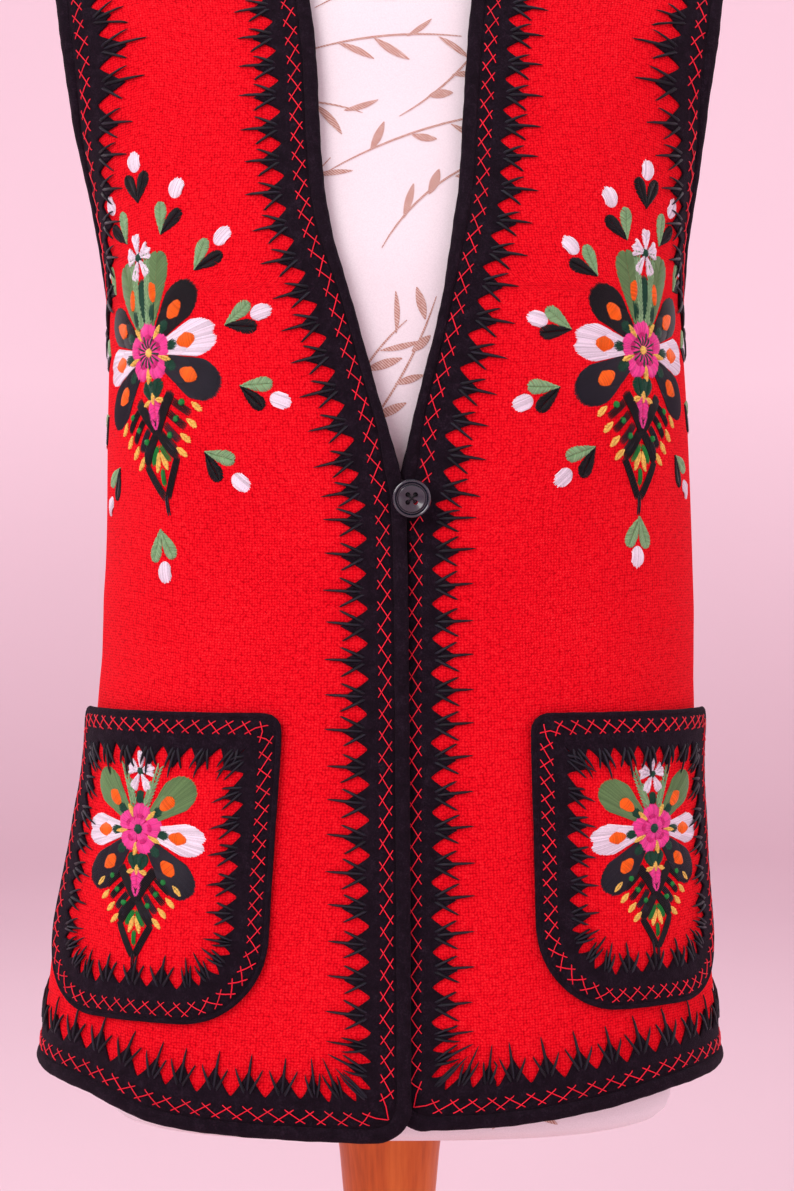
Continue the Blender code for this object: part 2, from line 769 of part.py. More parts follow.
def pocket(side, word, wool, felt):
    outline = pocket_outline(side, POCKET_CLOTH_INSET)[1:-1]
    top, bottom = outline[0][1], outline[-1][1]
    outline_heights = [height for _, height in outline][::-1]
    outline_halves = [across for across, _ in outline][::-1]
    columns = 11
    spots = []
    for share in POCKET_ROW_SHARES:
        height = bottom + (top - bottom) * share
        half = float(np.interp(height, outline_heights, outline_halves))
        spots += [pocket_spot(side, across, height) for across in np.linspace(-half, half, columns)]
    low = POCKET_STAND_OFF
    cloth("pocket_" + word, spots, grid_faces(len(POCKET_ROW_SHARES), columns), low, low + WOOL_THICK, side, wool)

    low += WOOL_THICK + LAYER_GAP
    teeth = Teeth((POCKET_ROLL_WIDTH + 0.6, POCKET_VALLEY), POCKET_TIP, POCKET_PITCH, low)
    path = PocketPath(side, POCKET_VALLEY)
    corner = path.top_corner()
    border("pocket_border_" + word, path, (corner, path.length - corner, path.length + corner),
           side, felt, teeth)

    path = PocketPath(side)
    sections = []
    for distance in few_distances(path, 0.0, path.length, POCKET_ROLL_BEND):
        centre_spot = path.inset(distance, POCKET_ROLL_WIDTH / 2)
        centre = place(centre_spot, low - LAYER_GAP, side)
        across = (place(path.inset(distance, POCKET_ROLL_WIDTH), low - LAYER_GAP, side) - centre).normalized()
        out = outward(*centre_spot)
        radius = millimetre(POCKET_ROLL_WIDTH / 2)
        sections.append([centre + across * radius * math.cos(math.radians(60 * corner))
                         + out * radius * math.sin(math.radians(60 * corner)) for corner in range(6)])
    tube("pocket_roll_" + word, sections, True, felt)


# ---------------------------------------------------------------- dress form and stand
def form_ring(row, count=28):
    """One horizontal section of the dress form, with the neck standing up through it."""
    ring = []
    for step in range(count):
        turn = 2 * math.pi * step / count
        sine, cosine = math.sin(turn), math.cos(turn)
        x = math.copysign(row.half * abs(sine) ** (2 / SQUARENESS), sine)
        shrink = roundness(x, row.height + 3.6)[0] if row.height > 440 else 1.0
        deep = row.front if cosine > 0 else row.back
        depth = deep * shrink * abs(cosine) ** (2 / SQUARENESS)
        if row.height > 690 and abs(x) < NECK_HALF:
            neck = NECK_FRONT if cosine > 0 else NECK_BACK
            depth = max(depth, neck * math.sqrt(1 - (x / NECK_HALF) ** 2))
        ring.append(Vector((x, -math.copysign(depth, cosine), row.height + FORM_RIM_HEIGHT)) * 0.001)
    return ring


def neck_ring(height, shrink, count=28):
    ring = []
    for step in range(count):
        turn = 2 * math.pi * step / count
        depth = (NECK_FRONT if math.cos(turn) > 0 else NECK_BACK) - shrink
        ring.append(Vector(((NECK_HALF - shrink) * math.sin(turn), -depth * math.cos(turn),
                            height + FORM_RIM_HEIGHT)) * 0.001)
    return ring


def dress_form(cover):
    sections = [form_ring(row) for row in FORM_RINGS]
    for height, shrink in ((756, -3), (764, 0), (790, 2), (NECK_TOP - 3, 2), (NECK_TOP, 5)):
        sections.append(neck_ring(height, shrink))
    tube("dress_form", sections, False, cover)


def turned(name, profile, foot_height, steps, finish_material):
    """Turned piece: profile of (radius, height) from its top down to its foot."""
    mesh = bpy.data.meshes.new(name)
    points = [(millimetre(radius), 0, millimetre(height)) for radius, height in profile]
    mesh.from_pydata(points, [(index, index + 1) for index in range(len(points) - 1)], [])
    piece = finish(name, mesh, finish_material)
    piece.location = (0, 0, millimetre(foot_height))
    screw = piece.modifiers.new("turn", "SCREW")
    screw.steps = steps
    screw.render_steps = steps
    screw.use_merge_vertices = True
    screw.merge_threshold = 0.00001
    screw.use_smooth_shade = True
    return piece


def stand(wood):
    top = FORM_RIM_HEIGHT - BASE_THICK - SEAM_GAP
    stem = ((0, top), (STEM_TOP_RADIUS, top), (STEM_TOP_RADIUS - 2.6, top - 27), (25.6, top - 80),
            (STEM_FOOT_RADIUS, top - 170), (STEM_FOOT_RADIUS, 30), (24, 18), (30, 8), (30, 0), (0, 0))
    turned("stand_stem", stem, BASE_THICK, 32, wood)
    base = ((0, BASE_THICK - SEAM_GAP), (BASE_RADIUS - 16, BASE_THICK - SEAM_GAP), (BASE_RADIUS - 6, 23),
            (BASE_RADIUS, 16), (BASE_RADIUS, 5), (BASE_RADIUS - 3, 0), (0, 0))
    turned("stand_base", base, 0, 48, wood)


# ---------------------------------------------------------------- fastening
def fastening(button_black, thread):
    spot = Spot(FRONT, BUTTON_X, BUTTON_HEIGHT)
    normal = outward(*spot)
    over_top = OVERLAP_LIFT + 0.3 + ROLL_THICK / 2
    turn = normal.to_track_quat("Z", "Y")
    button = turned("button", ((0, 2.9), (6.8, 3.0), (7.8, 3.3), (8.2, 2.5), (8.8, 2.5), (9.1, 3.4),
                               (10.2, BUTTON_THICK), (BUTTON_RADIUS, 3.0), (BUTTON_RADIUS, 1.0),
                               (9.5, 0), (0, 0)), 0, 28, button_black)
    # under the lap the spot itself is pressed in, so the button is placed on the plain shape
    foot = plain_point(spot) + Vector((0, -SEAM_GAP / 2, FORM_RIM_HEIGHT))
    button.location = (foot + normal * (over_top + LAYER_GAP)) * 0.001
    button.rotation_mode = "QUATERNION"
    button.rotation_quaternion = turn
    for corner in range(4):
        way = math.radians(90 * corner)
        offset = Vector((math.cos(way), math.sin(way), 0)) * millimetre(BUTTON_HOLE_REACH)
        bpy.ops.mesh.primitive_cylinder_add(vertices=12, radius=millimetre(BUTTON_HOLE_RADIUS),
                                            depth=millimetre(3 * BUTTON_THICK))
        drill = bpy.context.object
        drill.name = f"button_drill_{corner}"
        drill.rotation_mode = "QUATERNION"
        drill.rotation_quaternion = turn
        drill.location = button.location + turn @ offset
        drill.hide_render = True
        drill.display_type = "WIRE"
        for collection in list(drill.users_collection):
            collection.objects.unlink(drill)
        cutters.objects.link(drill)
        cut = button.modifiers.new(f"hole_{corner}", "BOOLEAN")
        cut.operation = "DIFFERENCE"
        cut.object = drill

    low = -UNDERLAP_DROP + LAYER_GAP + FELT_THICK + 2 * SEAM_GAP
    high = over_top + LAYER_GAP - SEAM_GAP
    bpy.ops.mesh.primitive_cylinder_add(vertices=12, radius=millimetre(SHANK_RADIUS), depth=millimetre(high - low))
    shank = bpy.context.object
    shank.name = "button_shank"
    shank.rotation_mode = "QUATERNION"
    shank.rotation_quaternion = turn
    shank.location = (foot + normal * (low + high) / 2) * 0.001
    shank.data.materials.append(thread)
    for collection in list(shank.users_collection):
        collection.objects.unlink(shank)
    parts.objects.link(shank)

    reach = SHANK_RADIUS + LOOP_RADIUS + LOOP_CLEARANCE
    route = [(front_edge(RIGHT, 388) + 1.1, 388.0)]
    route += [(11.6, 381.5)]
    for step in range(7):
        way = math.radians(70 - 36 * step)
        route.append((BUTTON_X + reach * math.cos(way), BUTTON_HEIGHT + reach * math.sin(way)))
    route += [(10.45, 379.0), (front_edge(RIGHT, 383.5) + 1.1, 383.5)]
    curve = bpy.data.curves.new("button_loop", "CURVE")
    curve.dimensions = "3D"
    curve.bevel_depth = millimetre(LOOP_RADIUS)
    curve.bevel_resolution = 1
    curve.use_fill_caps = True
    spline = curve.splines.new("POLY")
    spline.points.add(len(route) - 1)
    for point, (x, height) in zip(spline.points, route):
        here = plain_point(Spot(FRONT, x, height)) + Vector((0, 0, FORM_RIM_HEIGHT)) + normal * LOOP_STAND_OFF
        point.co = (*(here * 0.001), 1)
    loop = bpy.data.objects.new("button_loop", curve)
    curve.materials.append(thread)
    parts.objects.link(loop)


# ---------------------------------------------------------------- the whole object
for old in list(bpy.data.objects):
    bpy.data.objects.remove(old)

cutters = bpy.data.collections.new("cutters")
bpy.context.scene.collection.children.link(parts)
bpy.context.scene.collection.children.link(cutters)

red_wool = material("red_wool", (0.80, 0.012, 0.018), 0.95)
black_felt = material("black_felt", (0.012, 0.010, 0.016), 0.95)
form_cover = material("form_cover", (0.86, 0.85, 0.82), 0.85)
turned_wood = material("turned_wood", (0.50, 0.16, 0.035), 0.45)
button_horn = material("button_horn", (0.02, 0.024, 0.035), 0.25)
black_thread = material("black_thread", (0.015, 0.015, 0.02), 0.7)

front_panel("front_right", RIGHT, red_wool)
front_panel("front_left", LEFT, red_wool)
back_panel("back", red_wool)
for wearer_side, side_word in ((RIGHT, "right"), (LEFT, "left")):
    front_trim(wearer_side, side_word, black_felt)
    armhole = EdgePath(armhole_path(wearer_side), wearer_side, closed=True)
    border("armhole_border_" + side_word, armhole, (0.0, armhole.length), MIDDLE, black_felt, CURVED_TEETH)
    roll("armhole_roll_" + side_word, armhole, 0.0, armhole.length, MIDDLE, black_felt)
    pocket(wearer_side, side_word, red_wool, black_felt)

back_hem = EdgePath(back_hem_path(), -1)
hem_ends = (SEAM_GAP, back_hem.length - SEAM_GAP)
border("hem_border_back", back_hem, hem_ends, MIDDLE, black_felt, FELT_TEETH)
roll("hem_roll_back", back_hem, *hem_ends, MIDDLE, black_felt)
back_neck = EdgePath(back_neck_path(), 1)
neck_ends = (SEAM_GAP, back_neck.length - SEAM_GAP)
border("neck_border_back", back_neck, neck_ends, MIDDLE, black_felt, CURVED_TEETH)
roll("neck_roll_back", back_neck, *neck_ends, MIDDLE, black_felt)

fastening(button_horn, black_thread)
dress_form(form_cover)
stand(turned_wood)
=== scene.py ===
"""Embroidered folk vest on its dress form, with its cloth, felt, floss and stand finished.

Metres, +Z up; the front faces -Y and the wearer's left is +X.  The tables and lengths are in
millimetres, with heights counted from the lower rim of the dress form.
"""
import math

import bpy
import numpy as np
from mathutils import Matrix, Vector


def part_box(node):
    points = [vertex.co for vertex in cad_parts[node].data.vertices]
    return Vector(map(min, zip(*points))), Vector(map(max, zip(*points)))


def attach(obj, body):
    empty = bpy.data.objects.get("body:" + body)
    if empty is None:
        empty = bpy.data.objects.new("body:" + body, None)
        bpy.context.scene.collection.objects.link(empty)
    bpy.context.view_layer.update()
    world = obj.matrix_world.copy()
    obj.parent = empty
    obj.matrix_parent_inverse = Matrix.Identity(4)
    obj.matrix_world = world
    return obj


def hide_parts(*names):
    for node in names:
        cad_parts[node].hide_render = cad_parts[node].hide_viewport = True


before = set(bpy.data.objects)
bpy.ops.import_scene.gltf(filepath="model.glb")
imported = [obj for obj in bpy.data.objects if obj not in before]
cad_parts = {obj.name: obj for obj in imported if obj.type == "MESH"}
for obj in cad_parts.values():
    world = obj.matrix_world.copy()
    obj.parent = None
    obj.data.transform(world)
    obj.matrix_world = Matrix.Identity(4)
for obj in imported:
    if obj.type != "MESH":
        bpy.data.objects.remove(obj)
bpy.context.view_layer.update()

RIM_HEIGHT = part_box("dress_form")[0].z * 1000
BASE_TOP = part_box("stand_base")[1].z * 1000
WOOL_THICK = 2.0
FELT_THICK = 1.5
FELT_LIFT = 0.15
CLOTH_INSET = 12.0
CORNER_RADIUS = 20.0
OVERLAP_LIFT = 4.4
UNDERLAP_DROP = 1.6
POWER = 2.6
SHOULDER_TOP, SHOULDER_SLOPE, SHOULDER_SOFTNESS, SHOULDER_ROUND = 789.6, 0.3713, 40.0, 190.0
NECK_POINT, BACK_NECK_DROP, SHOULDER_TIP = 78.0, 18.0, 205.0
# each pocket's width, top, bottom and inner side as a share of the half-width
POCKETS = {-1: (160.0, 253.0, 75.0, 0.333), 1: (149.0, 253.0, 82.0, 0.427)}
POCKET_LIFT = 0.6
POCKET_RADII = (10.0, 50.0)
POCKET_WOOL_INSET = 4.5
BORDER_VALLEY, POCKET_VALLEY = 24.0, 21.0
BORDER_TIP, POCKET_TIP = 38.0, 32.5
BORDER_START, POCKET_START = 7.6, 2.6  # where the felt comes out from under its edging
TOOTH, POCKET_TOOTH = 20.0, 19.0  # from one tooth to the next
TRIM_END = 0.5  # how far an open run stops short of its edge's end
SEAM_GAP = 0.15  # half the gap between the front and the back at a side seam
V_TURN = 3.6  # how far the edge of the V neck is turned in
# edging: width, thickness and how far out its centre lies
BODY_ROLL, POCKET_ROLL = (8.2, 5.6, 0.9), (3.6, 3.6, 0.2)
# herringbone: nearest and farthest from the edge, and the length of a cross
BODY_CROSS, HOLE_CROSS, NECK_CROSS = (9.8, 17.2, 12.2), (10.4, 17.6, 12.2), (10.2, 17.2, 12.2)
POCKET_CROSS = (4.6, 12.2, 9.6)
# prongs at a tooth: root, tip of the middle one, tip and spread of the side ones
FRONT_PRONGS, HOLE_PRONGS = (27.5, 47.5, 38.5, 8.2), (27.5, 47.0, 38.5, 8.2)
HEM_PRONGS, POCKET_PRONGS = (27.0, 50.0, 38.5, 8.2), (23.5, 38.5, 32.5, 6.8)
BUTTON_X, BUTTON_HEIGHT = 12.9, 375.0
RIGHT, LEFT, MIDDLE = -1, 1, 0
FRONT, BACK = -1, 1

# height, half-width to the wearer's right and left, depth in front and behind
RINGS = [
    (0, 217, 204.5, 141, 133), (60, 211, 200.5, 141, 130), (120, 204, 195.5, 140, 125),
    (180, 193, 192, 138, 119), (240, 181, 188, 136.5, 112), (300, 176.8, 187.8, 136, 107),
    (370, 174, 186, 137.5, 106), (405, 173.8, 184.6, 138.5, 108), (440, 173.2, 183, 139, 110),
    (472, 172.8, 181, 136.5, 112), (505, 172, 179, 133, 113), (530, 175.5, 180.5, 126, 112),
    (565, 183.5, 187.5, 115, 110), (595, 194.5, 195.5, 107, 108), (621, 208.5, 208.5, 102, 106),
    (650, 225.5, 226, 99, 104), (680, 245, 245, 98, 102), (712, 268, 268, 98, 101),
    (790, 300, 300, 98, 100)]
# height, front edge of the wearer's right front and of the left front
FRONT_EDGES = [
    (0, 12.8, 1.2), (255, 11.5, 1.4), (370, 9.6, 2.4), (391, 6.2, 7.2), (431, -5.3, 16.4),
    (490, -21.6, 30.5), (530, -32.9, 36.5), (561, -37.8, 40.8), (592, -40.2, 42.6),
    (632, -42.3, 45.2), (662, -45.4, 47.6), (690, -50.5, 51.5), (720, -59.5, 60.0),
    (741, -68.5, 68.5), (757, -78, 78)]
# share of the half-width, hem height of the right front, the left front and the back
HEMS = [(0.0, 10.4, 15.8, 24), (0.3, 11.6, 18.2, 24.5), (0.6, 16, 25.4, 28),
        (0.83, 31, 34, 33.5), (1.0, 37.4, 36.8, 37)]
# height, ring angle of the armhole in front and behind
ARMHOLES = [
    (507, 90, 90), (511, 86.6, 86.4), (519, 84.6, 84.2), (530, 83.2, 82.4), (565, 78.5, 76.5),
    (595, 72.5, 69.5), (621, 64, 61), (650, 57, 54.5), (680, 51, 49), (712, 45, 45)]
# height, half-width, depth in front and behind of the dress form
FORM_RINGS = [
    (0, 156, 92, 98), (4, 168, 104, 110), (14, 174, 110, 116), (60, 173, 111, 116),
    (130, 160, 106, 108), (200, 135, 95, 88), (250, 125, 90, 80), (310, 130, 100, 86),
    (375, 142, 121, 95), (440, 150, 130, 101), (505, 157, 124, 105), (565, 168, 108, 103),
    (621, 180, 95, 99), (660, 187, 92, 97), (690, 187, 91, 95), (706, 181, 91, 94),
    (716, 170, 91, 94), (728, 141, 91, 94), (740, 109, 91, 94), (750, 80, 91, 94)]
NECK_HALF, NECK_FRONT, NECK_BACK, NECK_TOP = 60.0, 50.0, 55.0, 834.0

# Soft troughs and ridges of the worn cloth: face, from (x, height), to (x, height), width, height
CREASES = [
    (FRONT, (-30, 372), (-118, 345), 13, -1.3), (FRONT, (-34, 392), (-128, 412), 15, 1.2),
    (FRONT, (-60, 330), (-168, 292), 20, -1.6), (FRONT, (-120, 300), (-176, 322), 12, 1.5),
    (FRONT, (-140, 268), (-180, 286), 11, -1.4), (FRONT, (-90, 436), (-165, 470), 18, -1.3),
    (FRONT, (34, 368), (124, 338), 14, -1.2), (FRONT, (38, 398), (140, 420), 17, 1.3),
    (FRONT, (70, 318), (176, 286), 19, -1.5), (FRONT, (118, 292), (184, 312), 12, 1.4),
    (FRONT, (146, 262), (188, 272), 10, -1.2), (FRONT, (96, 442), (170, 482), 16, -1.2),
    (FRONT, (-160, 500), (-96, 566), 15, -1.4), (FRONT, (162, 498), (104, 560), 15, -1.3),
    (FRONT, (-70, 600), (-112, 690), 20, 1.2), (FRONT, (74, 604), (118, 700), 20, 1.1),
    (FRONT, (-208, 38), (-196, 150), 16, 2.2), (FRONT, (-176, 16), (-170, 96), 14, -2.0),
    (FRONT, (204, 40), (192, 140), 15, 1.4), (FRONT, (-44, 20), (-42, 64), 12, -0.9),
    (BACK, (-20, 342), (-134, 316), 17, -2.0), (BACK, (18, 350), (142, 330), 15, -1.8),
    (BACK, (-12, 318), (-96, 286), 14, 1.7), (BACK, (26, 312), (120, 282), 16, 1.6),
    (BACK, (-60, 268), (-160, 246), 15, -1.5), (BACK, (48, 262), (170, 250), 13, -1.3),
    (BACK, (-84, 60), (-62, 226), 22, 2.6), (BACK, (-22, 40), (-10, 190), 20, -2.2),
    (BACK, (52, 44), (40, 232), 24, 2.4), (BACK, (112, 36), (92, 170), 18, -2.3),
    (BACK, (-150, 42), (-128, 150), 17, -2.0), (BACK, (160, 40), (148, 176), 16, 1.9),
    (BACK, (-156, 520), (-70, 610), 18, -1.8), (BACK, (160, 512), (80, 596), 17, -1.7),
    (BACK, (-40, 640), (-150, 660), 22, 1.6), (BACK, (50, 652), (150, 664), 20, 1.4)]

# One of the blacks is black floss made lighter and bluer as a painted sheen, for the lower petals, some bars,
# the kite's tail and the top strand of each prong.
FLOSS = {
    "white": (0.84, 0.81, 0.88), "black": (0.0035, 0.0035, 0.0055), "black_with_painted_sheen": (0.011, 0.012, 0.020),
    "orange": (0.92, 0.145, 0.003), "pink": (0.84, 0.060, 0.33), "deep_pink": (0.62, 0.020, 0.20),
    "sage": (0.130, 0.26, 0.095), "light_green": (0.24, 0.46, 0.22), "dark_green": (0.002, 0.060, 0.030),
    "green": (0.005, 0.23, 0.035), "yellow": (0.90, 0.62, 0.13), "red": (0.86, 0.010, 0.035)}

chance = np.random.default_rng(11)


# ---------------------------------------------------------------- smooth tables
def monotone(places, values, at):
    """Smooth interpolation that never swings past its rows."""
    gaps = np.diff(places)
    rises = np.diff(values) / gaps
    slopes = np.zeros_like(values)
    same = rises[:-1] * rises[1:] > 0
    before, after = 2 * gaps[1:] + gaps[:-1], gaps[1:] + 2 * gaps[:-1]
    with np.errstate(divide="ignore", invalid="ignore"):
        mixed = (before + after) / (before / rises[:-1] + after / rises[1:])
    slopes[1:-1][same] = mixed[same]
    slopes[0], slopes[-1] = rises[0], rises[-1]
    row = np.clip(np.searchsorted(places, at) - 1, 0, len(places) - 2)
    t, gap = (at - places[row]) / gaps[row], gaps[row]
    return ((2 * t ** 3 - 3 * t ** 2 + 1) * values[row] + (t ** 3 - 2 * t ** 2 + t) * gap * slopes[row]
            + (3 * t ** 2 - 2 * t ** 3) * values[row + 1] + (t ** 3 - t ** 2) * gap * slopes[row + 1])


def blurred(values, reach):
    """Evened out over a reach, in samples, with the ends held."""
    pad = int(3 * reach) + 1
    kernel = np.exp(-0.5 * (np.arange(-pad, pad + 1) / reach) ** 2)
    head = 2 * values[0] - values[pad:0:-1]
    tail = 2 * values[-1] - values[-2:-pad - 2:-1]
    return np.convolve(np.concatenate([head, values, tail]), kernel / kernel.sum(), "valid")


def eased(rows, step, reach):
    rows = np.array(rows, float)
    at = np.arange(rows[0, 0], rows[-1, 0] + step / 2, step)
    return [at] + [blurred(monotone(rows[:, 0], column, at), reach) for column in rows.T[1:]]


RING = eased(RINGS, 1.0, 9)
EDGE = eased(FRONT_EDGES, 1.0, 5)
HEM = eased(HEMS, 0.005, 8)
HOLE = eased(ARMHOLES, 0.5, 2)
FORM = eased(FORM_RINGS, 0.5, 3)


def read(table, column, at):
    return np.interp(at, table[0], table[column])


def walked_along(points):
    """Distance from the first point to each, along the line."""
    return np.concatenate([[0], np.cumsum(np.linalg.norm(np.diff(points, axis=0), axis=1))])


# ---------------------------------------------------------------- the worn shape
def ring_half(side, height):
    return read(RING, 1 if side < 0 else 2, height)


def smooth_step(low, high, value):
    share = np.clip((value - low) / (high - low), 0.0, 1.0)
    return share * share * (3 - 2 * share)


def shoulder_height(x):
    return SHOULDER_TOP - SHOULDER_SLOPE * np.hypot(x, SHOULDER_SOFTNESS)


def half_width(x, height):
    return np.where(x < 0, read(RING, 1, height), read(RING, 2, height))


def full_depth(face, height):
    return np.where(face < 0, read(RING, 3, height), read(RING, 4, height))


def roundness(x, height):
    down = np.clip((shoulder_height(x) - height) / SHOULDER_ROUND, 0.0, 1.0)
    return np.sqrt(1 - (1 - down) ** 2), down


def plain(face, x, height):
    """Points of the smooth worn shape, in table millimetres."""
    share = np.minimum(np.abs(x) / half_width(x, height), 1.0)
    depth = full_depth(face, height) * roundness(x, height)[0] * (1 - share ** POWER) ** (1 / POWER)
    return np.stack([x + 0 * depth, face * depth, height + 0 * depth], -1)


def outward(face, x, height):
    reach = 8.0
    half, depth = half_width(x, height), full_depth(face, height)
    half_slope = (half_width(x, height + reach) - half_width(x, height - reach)) / (2 * reach)
    depth_slope = (full_depth(face, height + reach) - full_depth(face, height - reach)) / (2 * reach)
    share = np.minimum(np.abs(x) / half, 1.0)
    rest = 1 - share ** POWER
    kept, down = roundness(x, height)
    down_by_x = -SHOULDER_SLOPE * x / np.hypot(x, SHOULDER_SOFTNESS) / SHOULDER_ROUND
    turning = depth * (1 - down) * rest
    bulge = depth * kept ** 2
    normal = np.stack([
        np.sign(x) * bulge * share ** (POWER - 1) / half - turning * down_by_x,
        face * rest ** (1 - 1 / POWER) * kept,
        -(depth_slope * kept ** 2 * rest - turning / SHOULDER_ROUND
          + bulge * share ** POWER * half_slope / half)], -1)
    return normal / np.linalg.norm(normal, axis=-1, keepdims=True)


def creases(face, x, height):
    raised = 0.0 * x
    for crease_face, start, stop, width, tall in CREASES:
        along = np.array(stop, float) - start
        length = np.hypot(*along)
        walk = ((x - start[0]) * along[0] + (height - start[1]) * along[1]) / length
        off = ((x - start[0]) * along[1] - (height - start[1]) * along[0]) / length
        taper = smooth_step(-0.25 * length, 0.35 * length, walk)
        taper = taper * smooth_step(1.25 * length, 0.65 * length, walk)
        raised = raised + np.where(face == crease_face, tall * taper * np.exp(-(off / width) ** 2), 0.0)
    at_seam = smooth_step(0.0, 14.0, half_width(x, height) - np.abs(x) + 6)
    return raised * at_seam * smooth_step(0, 40, shoulder_height(x) - height)


def lap(side, x, height):
    fade = smooth_step(482, 400, height)
    if side == RIGHT:
        return OVERLAP_LIFT * fade * smooth_step(-84, -8, x)
    if side == LEFT:
        return -UNDERLAP_DROP * fade * smooth_step(50, 16, x)
    return 0.0 * x


def place(face, x, height, out=0.0, side=MIDDLE):
    """World points, in metres, over places of the worn shape, moved out by a distance."""
    face, x, height = np.broadcast_arrays(face, np.asarray(x, float), np.asarray(height, float))
    reach = out + creases(face, x, height) + np.where(face < 0, lap(side, x, height), 0.0)
    point = plain(face, x, height)
    point[..., 1] += face * SEAM_GAP
    point[..., 2] += RIM_HEIGHT
    return (point + outward(face, x, height) * reach[..., None]) * 0.001


def at_angle(side, angle, height):
    """Sideways place at an angle round a ring, from the middle."""
    return side * ring_half(side, height) * np.sin(np.radians(angle)) ** (2 / POWER)


def nearest(points):
    """Face, x and height of the worn shape next to points in table millimetres."""
    x, y, height = points[..., 0], points[..., 1], points[..., 2]
    face = np.where(y < 0, FRONT, BACK)
    half = half_width(x, height)
    depth = np.maximum(full_depth(face, height) * roundness(x, height)[0], 1e-3)
    angle = np.arctan2((np.abs(x) / half) ** (POWER / 2), (np.abs(y) / depth) ** (POWER / 2))
    near_x = np.sign(x) * half * np.sin(angle) ** (2 / POWER)
    high = height > shoulder_height(x) - 60
    return face, np.where(high, x, near_x), np.where(high, np.minimum(height, shoulder_height(x)), height)


def walk_ring(side, heights, start_x, distance):
    """Sideways places after walks along the rings, away from the middle."""
    sines = np.sin(np.radians(np.linspace(0, 90, 241))) ** (2 / POWER)
    cosines = np.cos(np.radians(np.linspace(0, 90, 241))) ** (2 / POWER)
    found = np.empty(np.broadcast(heights, distance).shape)
    for row, height in enumerate(heights[:, 0]):
        xs = ring_half(side, height) * sines
        kept = roundness(side * xs, height)[0]
        ys = read(RING, 3, height) * kept * cosines
        walked = np.concatenate([[0], np.cumsum(np.hypot(np.diff(xs), np.diff(ys)))])
        goal = np.interp(abs(start_x[row]), xs, walked) + distance[row]
        found[row] = side * np.interp(goal, walked, xs)
    return found


def hem_height(face, x, side):
    share = np.minimum(np.abs(x) / half_width(x, 20.0 + 0 * x), 1.0)
    return read(HEM, 3 if face == BACK else (1 if side == RIGHT else 2), share)


# ---------------------------------------------------------------- edges of the garment
def resampled(points, spacing, closed=False, reach=3.0):
    if closed:
        points = np.concatenate([points, points[:1]])
    walked = walked_along(points)
    at = np.linspace(0, walked[-1], int(walked[-1] / spacing) + 1)
    even = np.stack([np.interp(at, walked, points[:, axis]) for axis in range(points.shape[1])], -1)
    if closed:
        wrap = 30
        long = np.concatenate([even[-wrap - 1:-1], even, even[1:wrap + 1]])
        even = np.stack([blurred(column, reach) for column in long.T], -1)[wrap:-wrap]
        even[-1] = even[0]
        return even
    return np.stack([blurred(column, reach) for column in even.T], -1)


class Edge:
    """An edge of the garment: a line on it and its match at an inset, walked by the inset line."""

    def __init__(self, outer, inner, depth, side, closed=False, out=0.0):
        self.outer, self.inner, self.depth = outer, inner, depth
        self.side, self.closed, self.out = side, closed, out
        steps = np.linalg.norm(np.diff(inner, axis=0), axis=1) * 0.4
        steps += np.linalg.norm(np.diff(outer, axis=0), axis=1) * 0.6
        self.walked = np.concatenate([[0], np.cumsum(steps)])
        self.length = float(self.walked[-1])

    def spots(self, along, inward):
        along, inward = np.broadcast_arrays(np.asarray(along, float), np.asarray(inward, float))
        if self.closed:
            along = along % self.length
        index = np.interp(along, self.walked, np.arange(len(self.walked)))
        low = np.minimum(index.astype(int), len(self.walked) - 2)
        share = (index - low)[..., None]
        first = self.outer[low] * (1 - share) + self.outer[low + 1] * share
        if self.side and not self.closed:
            rolled_in = smooth_step(392, 425, first[..., 2]) * smooth_step(545, 490, first[..., 2])
            inward = inward - V_TURN * rolled_in * smooth_step(0, 12, inward)
        second = self.inner[low] * (1 - share) + self.inner[low + 1] * share
        return nearest(first + (second - first) * (inward / self.depth)[..., None])

    def at(self, along, inward, out):
        face, x, height = self.spots(along, inward)
        return place(face, x, height, out + self.lift(x, height), self.side)

    def lift(self, x, height):
        return self.out


def offset_line(outer, sign, closed=False):
    """The line a border's valley depth inward of an edge."""
    if closed:
        tangent = np.roll(outer[:-1], -2, 0) - np.roll(outer[:-1], 2, 0)
        tangent = np.concatenate([tangent, tangent[:1]])
    else:
        tangent = np.gradient(outer, axis=0)
    across = np.cross(outward(*nearest(outer)), tangent)
    across *= sign / np.linalg.norm(across, axis=1, keepdims=True)
    return plain(*nearest(outer + across * BORDER_VALLEY))


